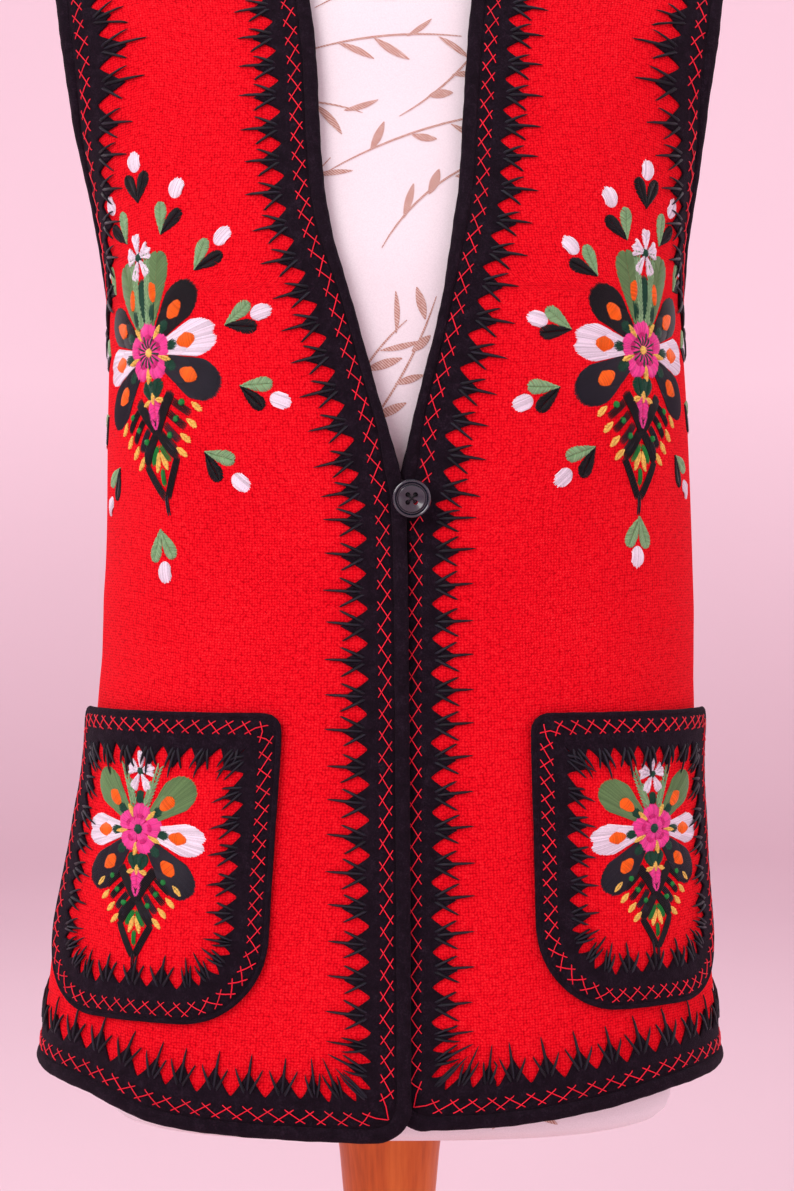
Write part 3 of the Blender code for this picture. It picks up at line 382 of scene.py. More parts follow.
def front_edge_line(side):
    """From the side seam along the hem, round the corner and up to the shoulder."""
    column = 1 if side == RIGHT else 2
    edge = read(EDGE, column, 0.0)
    low = hem_height(FRONT, np.array(float(edge)), side)
    angles = np.linspace(90, 0, 300)
    x = at_angle(side, angles, 30.0)
    x = x[side * x > side * edge + CORNER_RADIUS]
    hem = np.stack([x, hem_height(FRONT, x, side)], -1)
    turn = np.radians(np.linspace(0, 90, 30))
    corner = np.stack([edge + side * CORNER_RADIUS * (1 - np.sin(turn)),
                       low + CORNER_RADIUS * (1 - np.cos(turn))], -1)
    heights = np.linspace(low + CORNER_RADIUS + 1, 757, 700)
    rise = np.stack([read(EDGE, column, heights), heights], -1)
    flat = np.concatenate([hem, corner, rise])
    outer = resampled(plain(FRONT, flat[:, 0], flat[:, 1]), 1.0, reach=1.5)
    inner = offset_line(outer, -side)
    middle = np.argmin(np.linalg.norm(outer[:, [0, 2]] - corner[15], axis=1))
    reach, inner_reach = 56, 36.0
    for step in range(-reach, reach + 1):
        away = abs(step) * inner_reach / reach
        if step <= 0:
            place_x = edge + side * (BORDER_VALLEY + away)
            spot = (place_x, float(hem_height(FRONT, np.array(place_x), side)) + BORDER_VALLEY)
        else:
            height = low + BORDER_VALLEY + away
            spot = (float(read(EDGE, column, height)) + side * BORDER_VALLEY, float(height))
        inner[middle + step] = plain(FRONT, np.array(spot[0]), np.array(spot[1]))
    line = Edge(outer, inner, BORDER_VALLEY, side)
    line.corner = float(line.walked[middle])
    return line


def back_hem_line():
    angles = np.linspace(-90, 90, 500)
    right, left = (at_angle(side, np.abs(angles), 27.0) for side in (RIGHT, LEFT))
    x = np.where(angles < 0, right, left)
    outer = resampled(plain(BACK, x, hem_height(BACK, x, MIDDLE)), 1.0)
    return Edge(outer, offset_line(outer, -1), BORDER_VALLEY, MIDDLE)


def back_neck_line():
    x = NECK_POINT * np.sin(np.radians(np.linspace(-90, 90, 200)))
    height = shoulder_height(NECK_POINT) - BACK_NECK_DROP * (1 - (x / NECK_POINT) ** 2)
    outer = resampled(plain(BACK, x, height), 1.0, reach=1.5)
    return Edge(outer, offset_line(outer, 1), BORDER_VALLEY, MIDDLE)


def armhole_line(sign):
    low, high = ARMHOLES[0][0], float(shoulder_height(SHOULDER_TIP))
    rise = low + (high - low) * (1 - np.cos(np.linspace(0, math.pi, 200))) / 2
    front = plain(FRONT, at_angle(sign, read(HOLE, 1, rise), rise), rise)
    back = plain(BACK, at_angle(sign, read(HOLE, 2, rise), rise), rise)[::-1]
    outer = resampled(np.concatenate([front, back[1:-1]]), 1.0, closed=True, reach=5.0)
    return Edge(outer, offset_line(outer, sign, closed=True), BORDER_VALLEY, MIDDLE, closed=True)


# ---------------------------------------------------------------- pockets
def pocket_outline(side, inset):
    width, top, bottom, _ = POCKETS[side]
    half, top, bottom = width / 2 - inset, top - inset, bottom + inset
    first, second = (max(radius - inset, 1.0) for radius in POCKET_RADII)
    turn = np.radians(np.linspace(0, 90, 20))
    straight = np.linspace(0, 1, 60)
    points = [np.stack([straight * (half - first), top + 0 * straight], -1),
              np.stack([half - first * (1 - np.sin(turn)), top - first * (1 - np.cos(turn))], -1),
              np.stack([half + 0 * straight, top - first - straight * (top - first - bottom - second)], -1),
              np.stack([half - second * (1 - np.cos(turn)), bottom + second * (1 - np.sin(turn))], -1),
              np.stack([(half - second) * (1 - straight), bottom + 0 * straight], -1)]
    right = np.concatenate([points[0], points[1][1:], points[2][1:], points[3][1:], points[4][1:]])
    return np.concatenate([right, right[-2::-1] * (-1, 1)])


def pocket_x(side, across, height):
    width, _, _, inner_share = POCKETS[side]
    start = inner_share * ring_half(side, height)
    return walk_ring(side, height[:, None], side * start, (across + width / 2)[:, None])[:, 0]


class PocketEdge(Edge):
    def lift(self, x, height):
        return self.out + pocket_gape(x, height)


def pocket_gape(x, height):
    """The mouth stands a little open, most at its outer corner."""
    outer = smooth_step(0.62, 1.0, np.abs(x) / half_width(x, height))
    return smooth_step(150, 250, height) * (1.0 + 2.2 * outer * smooth_step(200, 250, height))


def pocket_edge_line(side):
    outer, inner = pocket_outline(side, 0.0), pocket_outline(side, POCKET_VALLEY)
    lines = [plain(FRONT, pocket_x(side, flat[:, 0], flat[:, 1]), flat[:, 1]) for flat in (outer, inner)]
    line = PocketEdge(*lines, POCKET_VALLEY, side, closed=True, out=POCKET_LIFT + WOOL_THICK)
    line.corner = float(line.walked[59 + 10])
    return line


class Patch:
    """A flat drawing's place on a front: across and up, in millimetres, from its middle."""

    def __init__(self, side, centre_x, centre_height, lean, out, gape=False):
        self.side, self.lean, self.out, self.gape = side, math.radians(lean), out, gape
        self.ups = np.arange(-150, 152, 4.0)
        self.acrosses = np.arange(-110, 112, 4.0)
        near = np.arange(centre_height - 170, centre_height + 170, 2.0)
        line = plain(FRONT, centre_x + 0 * near, near)
        walked = walked_along(line)
        walked -= np.interp(centre_height, near, walked)
        heights = np.interp(self.ups, walked, near)
        across = np.broadcast_to(self.acrosses, (len(heights), len(self.acrosses)))
        self.heights = heights
        self.x = walk_ring(side, heights[:, None] + 0 * across, centre_x + 0 * heights, across)

    def at(self, flat, out):
        """Outward is to the wearer's side: the drawing's x grows away from the front edge."""
        across = flat[..., 0] * math.cos(self.lean) + flat[..., 1] * math.sin(self.lean)
        up = flat[..., 1] * math.cos(self.lean) - flat[..., 0] * math.sin(self.lean)
        row = np.clip((up - self.ups[0]) / 4.0, 0, len(self.ups) - 1.001)
        col = np.clip((across - self.acrosses[0]) / 4.0, 0, len(self.acrosses) - 1.001)
        r, c = row.astype(int), col.astype(int)
        fr, fc = row - r, col - c
        x = ((1 - fr) * ((1 - fc) * self.x[r, c] + fc * self.x[r, c + 1])
             + fr * ((1 - fc) * self.x[r + 1, c] + fc * self.x[r + 1, c + 1]))
        height = np.interp(up, self.ups, self.heights)
        more = pocket_gape(x, height) if self.gape else 0.0
        return place(FRONT, x, height, out + self.out + more, self.side)


# ---------------------------------------------------------------- meshes
def put(name, data):
    """A new object of some data, in the scene."""
    made = bpy.data.objects.new(name, data)
    bpy.context.scene.collection.objects.link(made)
    return made


def modified_mesh(thing):
    bpy.context.view_layer.update()
    graph = bpy.context.evaluated_depsgraph_get()
    return bpy.data.meshes.new_from_object(thing.evaluated_get(graph), depsgraph=graph)


def new_piece(name, points, faces, material, uv=None, smooth=True, sharp=None):
    mesh = bpy.data.meshes.new(name)
    mesh.from_pydata(points.reshape(-1, 3).tolist(), [], faces)
    mesh.validate()
    mesh.update()
    if smooth:
        mesh.shade_smooth()
    if sharp is not None:
        mesh.set_sharp_from_angle(angle=math.radians(sharp))
    if uv is not None:
        corners = np.empty(len(mesh.loops), int)
        mesh.loops.foreach_get("vertex_index", corners)
        mesh.uv_layers.new(name="Cloth").data.foreach_set("uv", uv.reshape(-1, 2)[corners].ravel())
    mesh.materials.append(material)
    piece = put(name, mesh)
    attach(piece, "root")
    return piece


def loft(name, rings, material, closed=False, uv=None, replaced=(), sharp=None):
    """Skin over a row of closed rings, with flat ends unless the row itself is closed."""
    rows, count = rings.shape[:2]
    row = np.arange(rows if closed else rows - 1)
    col = np.arange(count)
    a = (row[:, None] * count + col).ravel()
    b = (row[:, None] * count + (col + 1) % count).ravel()
    above = ((row + 1) % rows)[:, None] * count
    c, d = (above + (col + 1) % count).ravel(), (above + col).ravel()
    flat = rings.reshape(-1, 3)
    one, two, three, four = flat[a], flat[b], flat[c], flat[d]
    centre = flat.mean(0)
    volume = (np.einsum("ij,ij->i", one - centre, np.cross(two - centre, three - centre))
              + np.einsum("ij,ij->i", one - centre, np.cross(three - centre, four - centre))).sum()
    quads = np.stack([a, b, c, d], -1)
    ends = [] if closed else [list(range(count))[::-1], list(range((rows - 1) * count, rows * count))]
    if volume < 0:
        quads = quads[:, ::-1]
        ends = [end[::-1] for end in ends]
    piece = new_piece(name, rings, quads.tolist() + ends, material, uv, sharp=sharp)
    if replaced:
        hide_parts(*replaced)
    return piece


def thick(grid_at, low, high):
    """Ring of points round each row of a wall of cloth."""
    return np.concatenate([grid_at(high), grid_at(low)[:, ::-1]], axis=1)


def measured_uv(points):
    """Lengths along and up a grid of world points, in metres."""
    across = np.linalg.norm(np.diff(points, axis=1), axis=-1)
    across = np.concatenate([np.zeros((len(points), 1)), np.cumsum(across, 1)], 1)
    across -= across[:, across.shape[1] // 2][:, None]
    up = np.linalg.norm(np.diff(points, axis=0), axis=-1)
    up = np.concatenate([np.zeros((1, points.shape[1])), np.cumsum(up, 0)], 0)
    return np.stack([across, up + points[:1, :, 2] * 0.5], -1)


# ---------------------------------------------------------------- stitches
class Stitches:
    """Threads gathered as short lines, each point with its radius and colour."""

    def __init__(self):
        self.points, self.radii, self.colours = [], [], []

    def add(self, points, radii, colour, vary=0.2):
        points = np.asarray(points, float)
        radii = np.broadcast_to(radii, points.shape[:2])
        tone = 1 + chance.uniform(-vary, vary, len(points))
        colours = np.array(FLOSS[colour])[None, :] * tone[:, None]
        self.points.append(points)
        self.radii.append(radii)
        self.colours.append(np.repeat(colours[:, None], points.shape[1], 1))

    def build(self, name, sides=4):
        vertices, edges, radii, colours = [], [], [], []
        total = 0
        for points, radius, colour in zip(self.points, self.radii, self.colours):
            number, count = points.shape[:2]
            index = total + np.arange(number * count).reshape(number, count)
            edges.append(np.stack([index[:, :-1].ravel(), index[:, 1:].ravel()], -1))
            vertices.append(points.reshape(-1, 3))
            radii.append(radius.ravel())
            colours.append(colour.reshape(-1, 3))
            total += number * count
        mesh = bpy.data.meshes.new(name)
        mesh.from_pydata(np.concatenate(vertices).tolist(), np.concatenate(edges).tolist(), [])
        thread = mesh.attributes.new("thread", "FLOAT", "POINT")
        thread.data.foreach_set("value", np.concatenate(radii).astype(np.float32) * 0.001)
        dye = mesh.attributes.new("dye", "FLOAT_VECTOR", "POINT")
        dye.data.foreach_set("vector", np.concatenate(colours).astype(np.float32).ravel())
        lines = put(name + "_lines", mesh)
        modifier = lines.modifiers.new("threads", "NODES")
        modifier.node_group = thread_tree
        modifier[thread_sides] = sides
        modifier[thread_material] = floss_material
        made = modified_mesh(lines)
        made.name = name
        bpy.data.objects.remove(lines)
        piece = put(name, made)
        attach(piece, "root")
        return piece


def make_thread_tree():
    """Lines to round threads: the radius comes from each point, the sides and material from outside."""
    tree = bpy.data.node_groups.new("threads", "GeometryNodeTree")
    tree.interface.new_socket("Geometry", in_out="INPUT", socket_type="NodeSocketGeometry")
    sides = tree.interface.new_socket("Sides", in_out="INPUT", socket_type="NodeSocketInt")
    skin = tree.interface.new_socket("Material", in_out="INPUT", socket_type="NodeSocketMaterial")
    tree.interface.new_socket("Geometry", in_out="OUTPUT", socket_type="NodeSocketGeometry")
    nodes, links = tree.nodes, tree.links
    source, sink = nodes.new("NodeGroupInput"), nodes.new("NodeGroupOutput")
    curves = nodes.new("GeometryNodeMeshToCurve")
    radius = nodes.new("GeometryNodeInputNamedAttribute")
    radius.data_type = "FLOAT"
    radius.inputs["Name"].default_value = "thread"
    set_radius = nodes.new("GeometryNodeSetCurveRadius")
    circle = nodes.new("GeometryNodeCurvePrimitiveCircle")
    circle.inputs["Radius"].default_value = 1.0
    tubes = nodes.new("GeometryNodeCurveToMesh")
    tubes.inputs["Fill Caps"].default_value = True
    smooth = nodes.new("GeometryNodeSetShadeSmooth")
    realize = nodes.new("GeometryNodeRealizeInstances")
    paint = nodes.new("GeometryNodeSetMaterial")
    for giver, output, taker, intake in (
            (source, "Geometry", curves, "Mesh"), (curves, "Curve", set_radius, "Curve"),
            (radius, "Attribute", set_radius, "Radius"), (source, "Sides", circle, "Resolution"),
            (set_radius, "Curve", tubes, "Curve"), (circle, "Curve", tubes, "Profile Curve"),
            (radius, "Attribute", tubes, "Scale"), (tubes, "Mesh", smooth, "Geometry"),
            (smooth, "Geometry", realize, "Geometry"), (realize, "Geometry", paint, "Geometry"),
            (source, "Material", paint, "Material"), (paint, "Geometry", sink, "Geometry")):
        links.new(giver.outputs[output], taker.inputs[intake])
    return tree, sides.identifier, skin.identifier


# ---------------------------------------------------------------- materials
class Value:
    """A shader socket that takes part in sums."""

    def __init__(self, paint, socket):
        self.paint, self.socket = paint, socket

    def __add__(self, other):
        return self.paint.math("ADD", self, other)

    def __radd__(self, other):
        return self.paint.math("ADD", other, self)

    def __sub__(self, other):
        return self.paint.math("SUBTRACT", self, other)

    def __rsub__(self, other):
        return self.paint.math("SUBTRACT", other, self)

    def __mul__(self, other):
        return self.paint.math("MULTIPLY", self, other)

    def __rmul__(self, other):
        return self.paint.math("MULTIPLY", other, self)

    def power(self, other):
        return self.paint.math("POWER", self, other)


class Paint:
    """A material's node tree, built a node at a time."""

    def __init__(self, name, **constants):
        self.material = bpy.data.materials.new(name)
        self.material.use_nodes = True
        self.tree = self.material.node_tree
        self.shader = self.tree.nodes["Principled BSDF"]
        for socket, value in constants.items():
            self.shader.inputs[socket.replace("_", " ")].default_value = value

    def node(self, kind, output, settings=None, **inputs):
        made = self.tree.nodes.new("ShaderNode" + kind)
        for key, value in (settings or {}).items():
            setattr(made, key, value)
        for key, value in inputs.items():
            socket = made.inputs[key.replace("_", " ")]
            if isinstance(value, Value):
                self.tree.links.new(value.socket, socket)
            else:
                socket.default_value = value
        return Value(self, made.outputs[output])

    def math(self, operation, first, second):
        made = self.tree.nodes.new("ShaderNodeMath")
        made.operation = operation
        for socket, value in zip(made.inputs, (first, second)):
            if isinstance(value, Value):
                self.tree.links.new(value.socket, socket)
            else:
                socket.default_value = value
        return Value(self, made.outputs["Value"])

    def ramp(self, factor, stops):
        made = self.tree.nodes.new("ShaderNodeValToRGB")
        self.tree.links.new(factor.socket, made.inputs["Fac"])
        elements = made.color_ramp.elements
        while len(elements) < len(stops):
            elements.new(0.5)
        for element, (position, colour) in zip(elements, stops):
            element.position = position
            element.color = (*colour, 1)
        return Value(self, made.outputs["Color"])

    def bump(self, height, distance, strength=1.0):
        return self.node("Bump", "Normal", Height=height, Distance=distance, Strength=strength)

    def finish(self, **varying):
        for socket, value in varying.items():
            self.tree.links.new(value.socket, self.shader.inputs[socket.replace("_", " ")])
        return self.material


def wool_material():
    paint = Paint("red_wool", Roughness=0.95, Sheen_Weight=0.10, Sheen_Roughness=0.5,
                  Sheen_Tint=(1.0, 0.12, 0.15, 1), Specular_IOR_Level=0.05)
    uv = paint.node("UVMap", "UV", {"uv_map": "Cloth"})
    knit = paint.node("VectorMath", "Vector", {"operation": "MULTIPLY"}, Vector=uv)
    knit.socket.node.inputs[1].default_value = (590.0, 640.0, 1.0)
    cells = paint.node("TexVoronoi", "Distance", {"feature": "SMOOTH_F1", "voronoi_dimensions": "2D"},
                       Vector=knit, Scale=1.0, Smoothness=0.35, Randomness=0.42)
    fibre = paint.node("TexNoise", "Fac", Vector=uv, Scale=1500.0, Detail=3.0, Roughness=0.65)
    patchy = paint.node("TexNoise", "Fac", Vector=uv, Scale=260.0, Detail=2.0, Roughness=0.6)
    broad = paint.node("TexNoise", "Fac", Vector=uv, Scale=16.0, Detail=2.0)
    tuft = 1.0 - cells
    # The colour runs from painted shade in the hollows between the knit tufts to a painted highlight on the
    # tuft tops and fibres; the patchy and broad noises add random tone.
    tone = tuft * 0.72 + fibre * 0.58 + patchy * 0.44 + broad * 0.12 - 0.62
    colour = paint.ramp(tone, [(0.14, (0.50, 0.0008, 0.006)), (0.34, (0.80, 0.0020, 0.012)),
                               (0.56, (0.97, 0.010, 0.020)), (0.78, (1.0, 0.055, 0.062))])
    rise = tuft * 0.7 + fibre * 0.5
    return paint.finish(Base_Color=colour, Normal=paint.bump(rise, 0.0012, 0.8))


def felt_material():
    paint = Paint("black_felt", Roughness=0.95, Sheen_Weight=0.03, Sheen_Roughness=0.6,
                  Sheen_Tint=(0.6, 0.42, 0.6, 1), Specular_IOR_Level=0.10)
    place_of = paint.node("TexCoord", "Object")
    fibre = paint.node("TexNoise", "Fac", Vector=place_of, Scale=900.0, Detail=4.0, Roughness=0.7)
    clump = paint.node("TexNoise", "Fac", Vector=place_of, Scale=170.0, Detail=3.0, Roughness=0.6)
    colour = paint.ramp(fibre * 0.6 + clump * 0.4,
                        [(0.30, (0.003, 0.0015, 0.003)), (0.52, (0.009, 0.005, 0.010)),
                         (0.72, (0.028, 0.019, 0.030))])
    return paint.finish(Base_Color=colour, Normal=paint.bump(fibre + clump * 0.5, 0.0009, 0.7))


def floss_material_made():
    paint = Paint("floss", Roughness=0.42, Specular_IOR_Level=0.26)
    dye = paint.node("Attribute", "Vector", {"attribute_name": "dye"})
    place_of = paint.node("TexCoord", "Object")
    strand = paint.node("TexNoise", "Fac", Vector=place_of, Scale=1800.0, Detail=2.0)
    shade = strand * 0.5 + 0.75
    colour = paint.node("VectorMath", "Vector", {"operation": "SCALE"}, Vector=dye, Scale=shade)
    return paint.finish(Base_Color=colour, Normal=paint.bump(strand, 0.0003, 0.5))


def cover_material():
    paint = Paint("form_cover", Roughness=0.78, Sheen_Weight=0.1, Specular_IOR_Level=0.25)
    place_of = paint.node("TexCoord", "Object")
    weave = paint.node("TexNoise", "Fac", Vector=place_of, Scale=1300.0, Detail=2.0)
    colour = paint.ramp(weave, [(0.3, (0.84, 0.83, 0.84)), (0.7, (0.92, 0.91, 0.92))])
    return paint.finish(Base_Color=colour, Normal=paint.bump(weave, 0.0003, 0.4))


def print_material():
    paint = Paint("printed_grass", Roughness=0.8, Specular_IOR_Level=0.2)
    place_of = paint.node("TexCoord", "Object")
    dry = paint.node("TexNoise", "Fac", Vector=place_of, Scale=420.0, Detail=4.0, Roughness=0.7)
    hatch = paint.node("TexWave", "Fac", {"bands_direction": "DIAGONAL"}, Vector=place_of, Scale=320.0,
                       Distortion=3.0, Detail=2.0)
    colour = paint.ramp(dry * 0.6 + hatch * 0.4, [(0.25, (0.40, 0.19, 0.14)), (0.5, (0.56, 0.34, 0.27)),
                                                  (0.75, (0.76, 0.64, 0.58))])
    return paint.finish(Base_Color=colour)


def wood_material():
    paint = Paint("turned_wood", Roughness=0.42, Coat_Weight=0.10, Coat_Roughness=0.25,
                  Specular_IOR_Level=0.3)
    place_of = paint.node("TexCoord", "Object")
    stretched = paint.node("Mapping", "Vector", Vector=place_of, Scale=(42.0, 42.0, 3.2))
    grain = paint.node("TexNoise", "Fac", Vector=stretched, Scale=1.0, Detail=6.0, Roughness=0.62,
                       Distortion=0.9)
    fine_place = paint.node("Mapping", "Vector", Vector=place_of, Scale=(380.0, 380.0, 14.0))
    pores = paint.node("TexNoise", "Fac", Vector=fine_place, Scale=1.0, Detail=3.0)
    colour = paint.ramp(grain * 0.75 + pores * 0.25,
                        [(0.32, (0.38, 0.062, 0.006)), (0.48, (0.60, 0.120, 0.014)),
                         (0.66, (0.74, 0.19, 0.030))])
    return paint.finish(Base_Color=colour, Normal=paint.bump(pores, 0.0004, 0.4))


def button_material():
    paint = Paint("button", Roughness=0.24, Coat_Weight=0.8, Coat_Roughness=0.06)
    place_of = paint.node("TexCoord", "Object")
    cloud = paint.node("TexNoise", "Fac", Vector=place_of, Scale=160.0, Detail=3.0)
    colour = paint.ramp(cloud, [(0.3, (0.006, 0.008, 0.014)), (0.7, (0.016, 0.020, 0.034))])
    return paint.finish(Base_Color=colour)


red_wool = wool_material()
black_felt = felt_material()
floss_material = floss_material_made()
form_cover = cover_material()
printed_grass = print_material()
turned_wood = wood_material()
button_dark = button_material()
thread_tree, thread_sides, thread_material = make_thread_tree()


# ---------------------------------------------------------------- wool panels
def even_row(face, starts, stops, height_of, columns):
    """Places across a panel at even true distances, at the height that each place has."""
    share = np.sin(math.pi * (np.linspace(0, 1, 161) - 0.5)) / 2 + 0.5
    x = starts + (stops - starts) * share
    points = plain(face, x, height_of(x))
    walked = walked_along(points)
    x = np.interp(np.linspace(0, walked[-1], columns), walked, x)
    return x, height_of(x)


def meeting(x, height_of, edge_x):
    for _ in range(14):
        x = float(edge_x(height_of(np.array(float(x)))))
    return x


def inset_curve(line, face=None, start=0.0):
    along = np.linspace(start, line.length, 400)
    found_face, x, height = line.spots(along, CLOTH_INSET)
    keep = np.ones(len(x), bool) if face is None else found_face == face
    order = np.argsort(height[keep])
    return height[keep][order], x[keep][order]


def panel_rows(face, side, inner_of, hole_of, hem, top, columns):
    """Rows of places from the hem to the shoulder, each from the inner edge to the outer."""
    armpit = ARMHOLES[0][0] - CLOTH_INSET
    rows = []

    def half(height):
        return side * ring_half(side, height)

    def add(height_of, outer):
        inner = meeting(half(40) * 0.1, height_of, inner_of)
        rows.append(even_row(face, inner, meeting(half(40), height_of, outer), height_of, columns))

    for share in np.linspace(0, 1, 8):
        add(lambda x, share=share: (hem(x) + CLOTH_INSET) * (1 - share) + 62.0 * share, half)
    for height in np.arange(67.0, armpit, 4.5):
        add(lambda x, height=height: height + 0 * x, half)
    for share in np.concatenate([np.linspace(1, 0.08, 56), [0.05, 0.03, 0.015, 0.006, 0.0]]):
        def height_of(x, share=share):
            return top(x) - share * (top(x) - armpit)
        inner = meeting(half(600) * 0.3, height_of, inner_of)
        outer = half(armpit) if share == 1 else meeting(half(600) * 0.9, height_of, hole_of)
        rows.append(even_row(face, inner, outer, height_of, columns))
    return np.array([row[0] for row in rows]), np.array([row[1] for row in rows])


def front_panel(word, side, line, hole):
    heights, xs = inset_curve(line, start=line.corner + 12)
    hole_heights, hole_xs = inset_curve(hole, FRONT)
    x, height = panel_rows(
        FRONT, side, lambda h: np.interp(h, heights, xs),
        lambda h: np.interp(h, hole_heights, hole_xs), lambda x: hem_height(FRONT, x, side),
        shoulder_height, 46)

    def grid(out):
        return place(FRONT, x, height, out, side)

    return wool_wall("wool_front_" + word, grid, -WOOL_THICK, 0.0, "front_" + word)


def back_panel(neck, holes):
    neck_spots = neck.spots(np.linspace(0, neck.length, 200), CLOTH_INSET)
    neck_x, neck_height = neck_spots[1], neck_spots[2]

    def top(x):
        inside = (x > neck_x[0]) & (x < neck_x[-1])
        return np.where(inside, np.interp(x, neck_x, neck_height), shoulder_height(x))

    halves = []
    for side in (RIGHT, LEFT):
        hole_heights, hole_xs = inset_curve(holes[side], BACK)
        halves.append(panel_rows(
            BACK, side, lambda h: 0.0,
            lambda h, a=hole_heights, b=hole_xs: np.interp(h, a, b),
            lambda x: hem_height(BACK, x, MIDDLE), top, 44))
    x = np.concatenate([halves[0][0][:, ::-1], halves[1][0][:, 1:]], 1)
    height = np.concatenate([halves[0][1][:, ::-1], halves[1][1][:, 1:]], 1)

    def grid(out):
        return place(BACK, x, height, out)

    return wool_wall("wool_back", grid, -WOOL_THICK, 0.0, "back")


def wool_wall(name, grid, low, high, replaced):
    """A wall of wool between two distances out, with its weave measured on the outer side."""
    uv = measured_uv(grid(high))
    return loft(name, thick(grid, low, high), red_wool,
                uv=np.concatenate([uv, uv[:, ::-1]], 1), replaced=[replaced], sharp=40)


def pocket_panel(word, side):
    width, _, _, inner_share = POCKETS[side]
    outline = pocket_outline(side, POCKET_WOOL_INSET)
    right_half = outline[:len(outline) // 2 + 1]
    order = np.argsort(right_half[:, 1])
    heights = np.linspace(right_half[:, 1].max(), right_half[:, 1].min(), 40)
    halves = np.interp(heights, right_half[order, 1], right_half[order, 0])
    halves[0], halves[-1] = width / 2 - POCKET_RADII[0], width / 2 - POCKET_RADII[1]
    across = halves[:, None] * np.linspace(-1, 1, 34)
    start = side * inner_share * ring_half(side, heights)
    height = heights[:, None] + 0 * across
    x = walk_ring(side, height, start, across + width / 2)

    def grid(out):
        return place(FRONT, x, height, out + POCKET_LIFT + pocket_gape(x, height), side)

    return wool_wall("wool_pocket_" + word, grid, 0.0, WOOL_THICK, "pocket_" + word)


# ---------------------------------------------------------------- trims
def uneven(size, spread):
    return chance.uniform(-spread, spread, size)


borders = []


def trim(name, line, stops, valley, tip, sharpness, start, replaced, rests_on):
    """Toothed felt border: stops are (distance, tooth count) pairs that space its teeth."""
    distances, counts = zip(*stops)
    along = np.linspace(distances[0], distances[-1], int((distances[-1] - distances[0]) / 1.2))
    if line.closed:
        along = along[:-1]
    count = np.interp(along, distances, counts)
    tooth = np.floor(count).astype(int)
    away = np.abs(count - np.round(count)) * 2
    tips = tip + uneven(tooth.max() + 2, 1.0)
    valleys = valley + uneven(tooth.max() + 2, 0.7)
    near_valley = valleys[np.round(count).astype(int) % (tooth.max() + 1)]
    near_tip = tips[tooth]
    reach = near_valley + (near_tip - near_valley) * away ** sharpness
    low, high = FELT_LIFT, FELT_LIFT + FELT_THICK
    inward = [start + (reach - 0.5 - start) * share for share in (0.0, 0.3, 0.6, 0.82)]
    inward += [reach - 0.5, reach - 0.1, reach - 0.1, reach - 0.5]
    inward += [start + (reach - start) * 0.5, start + 0 * along]
    outs = np.array([high] * 5 + [high - 0.4, low + 0.4] + [low] * 3)
    rings = line.at(along[:, None], np.stack(inward, 1), outs)
    piece = loft(name, rings, black_felt, closed=line.closed, replaced=replaced)
    middle_reach = (valley + tip) / 2 - start
    borders.append((piece, middle_reach / 1000, (distances[-1] - distances[0]) / 1000, rests_on))


def rolled(name, line, size, replaced):
    """Thick edging, all round a closed edge or nearly to both ends of an open one."""
    width, thickness, centre_out = size
    start, stop = (0.0, line.length) if line.closed else (TRIM_END, line.length - TRIM_END)
    along = np.linspace(start, stop, int((stop - start) / 2.5))
    if line.closed:
        along = along[:-1]
    turn = np.radians(np.arange(0, 360, 22.5))
    wander = 1 + 0.03 * np.sin(along * 0.21)[:, None] + 0.02 * np.sin(along * 0.53 + 1)[:, None]
    inward = width / 2 + width / 2 * 1.04 * np.cos(turn) * wander
    out = centre_out + thickness / 2 * np.sin(turn) * wander
    rings = line.at(along[:, None], inward, out)
    return loft(name, rings, black_felt, closed=line.closed, replaced=replaced)


def herringbone(stitches, line, start, stop, low, high, period, base):
    """Crossed legs of red thread along an edge."""
    count = int(round((stop - start) / period)) * 2
    half = (stop - start) / count
    first = start + half * np.arange(count) - 0.22 * period + uneven(count, 0.35)
    last = start + half * (np.arange(count) + 1) + 0.22 * period + uneven(count, 0.35)
    rises = np.arange(count) % 2 == 0
    from_in = np.where(rises, low, high) + uneven(count, 0.3)
    to_in = np.where(rises, high, low) + uneven(count, 0.3)
    share = np.array([0.0, 0.07, 0.5, 0.93, 1.0])
    along = first[:, None] + (last - first)[:, None] * share
    inward = from_in[:, None] + (to_in - from_in)[:, None] * share
    if not line.closed:
        along = np.clip(along, 0.3, line.length - 0.3)
    over = np.where(rises, 0.0, 0.35)[:, None]
    out = base + np.array([-0.4, 0.28, 0.42, 0.28, -0.4]) + over
    stitches.add(line.at(along, inward, out), 0.36, "red", 0.15)


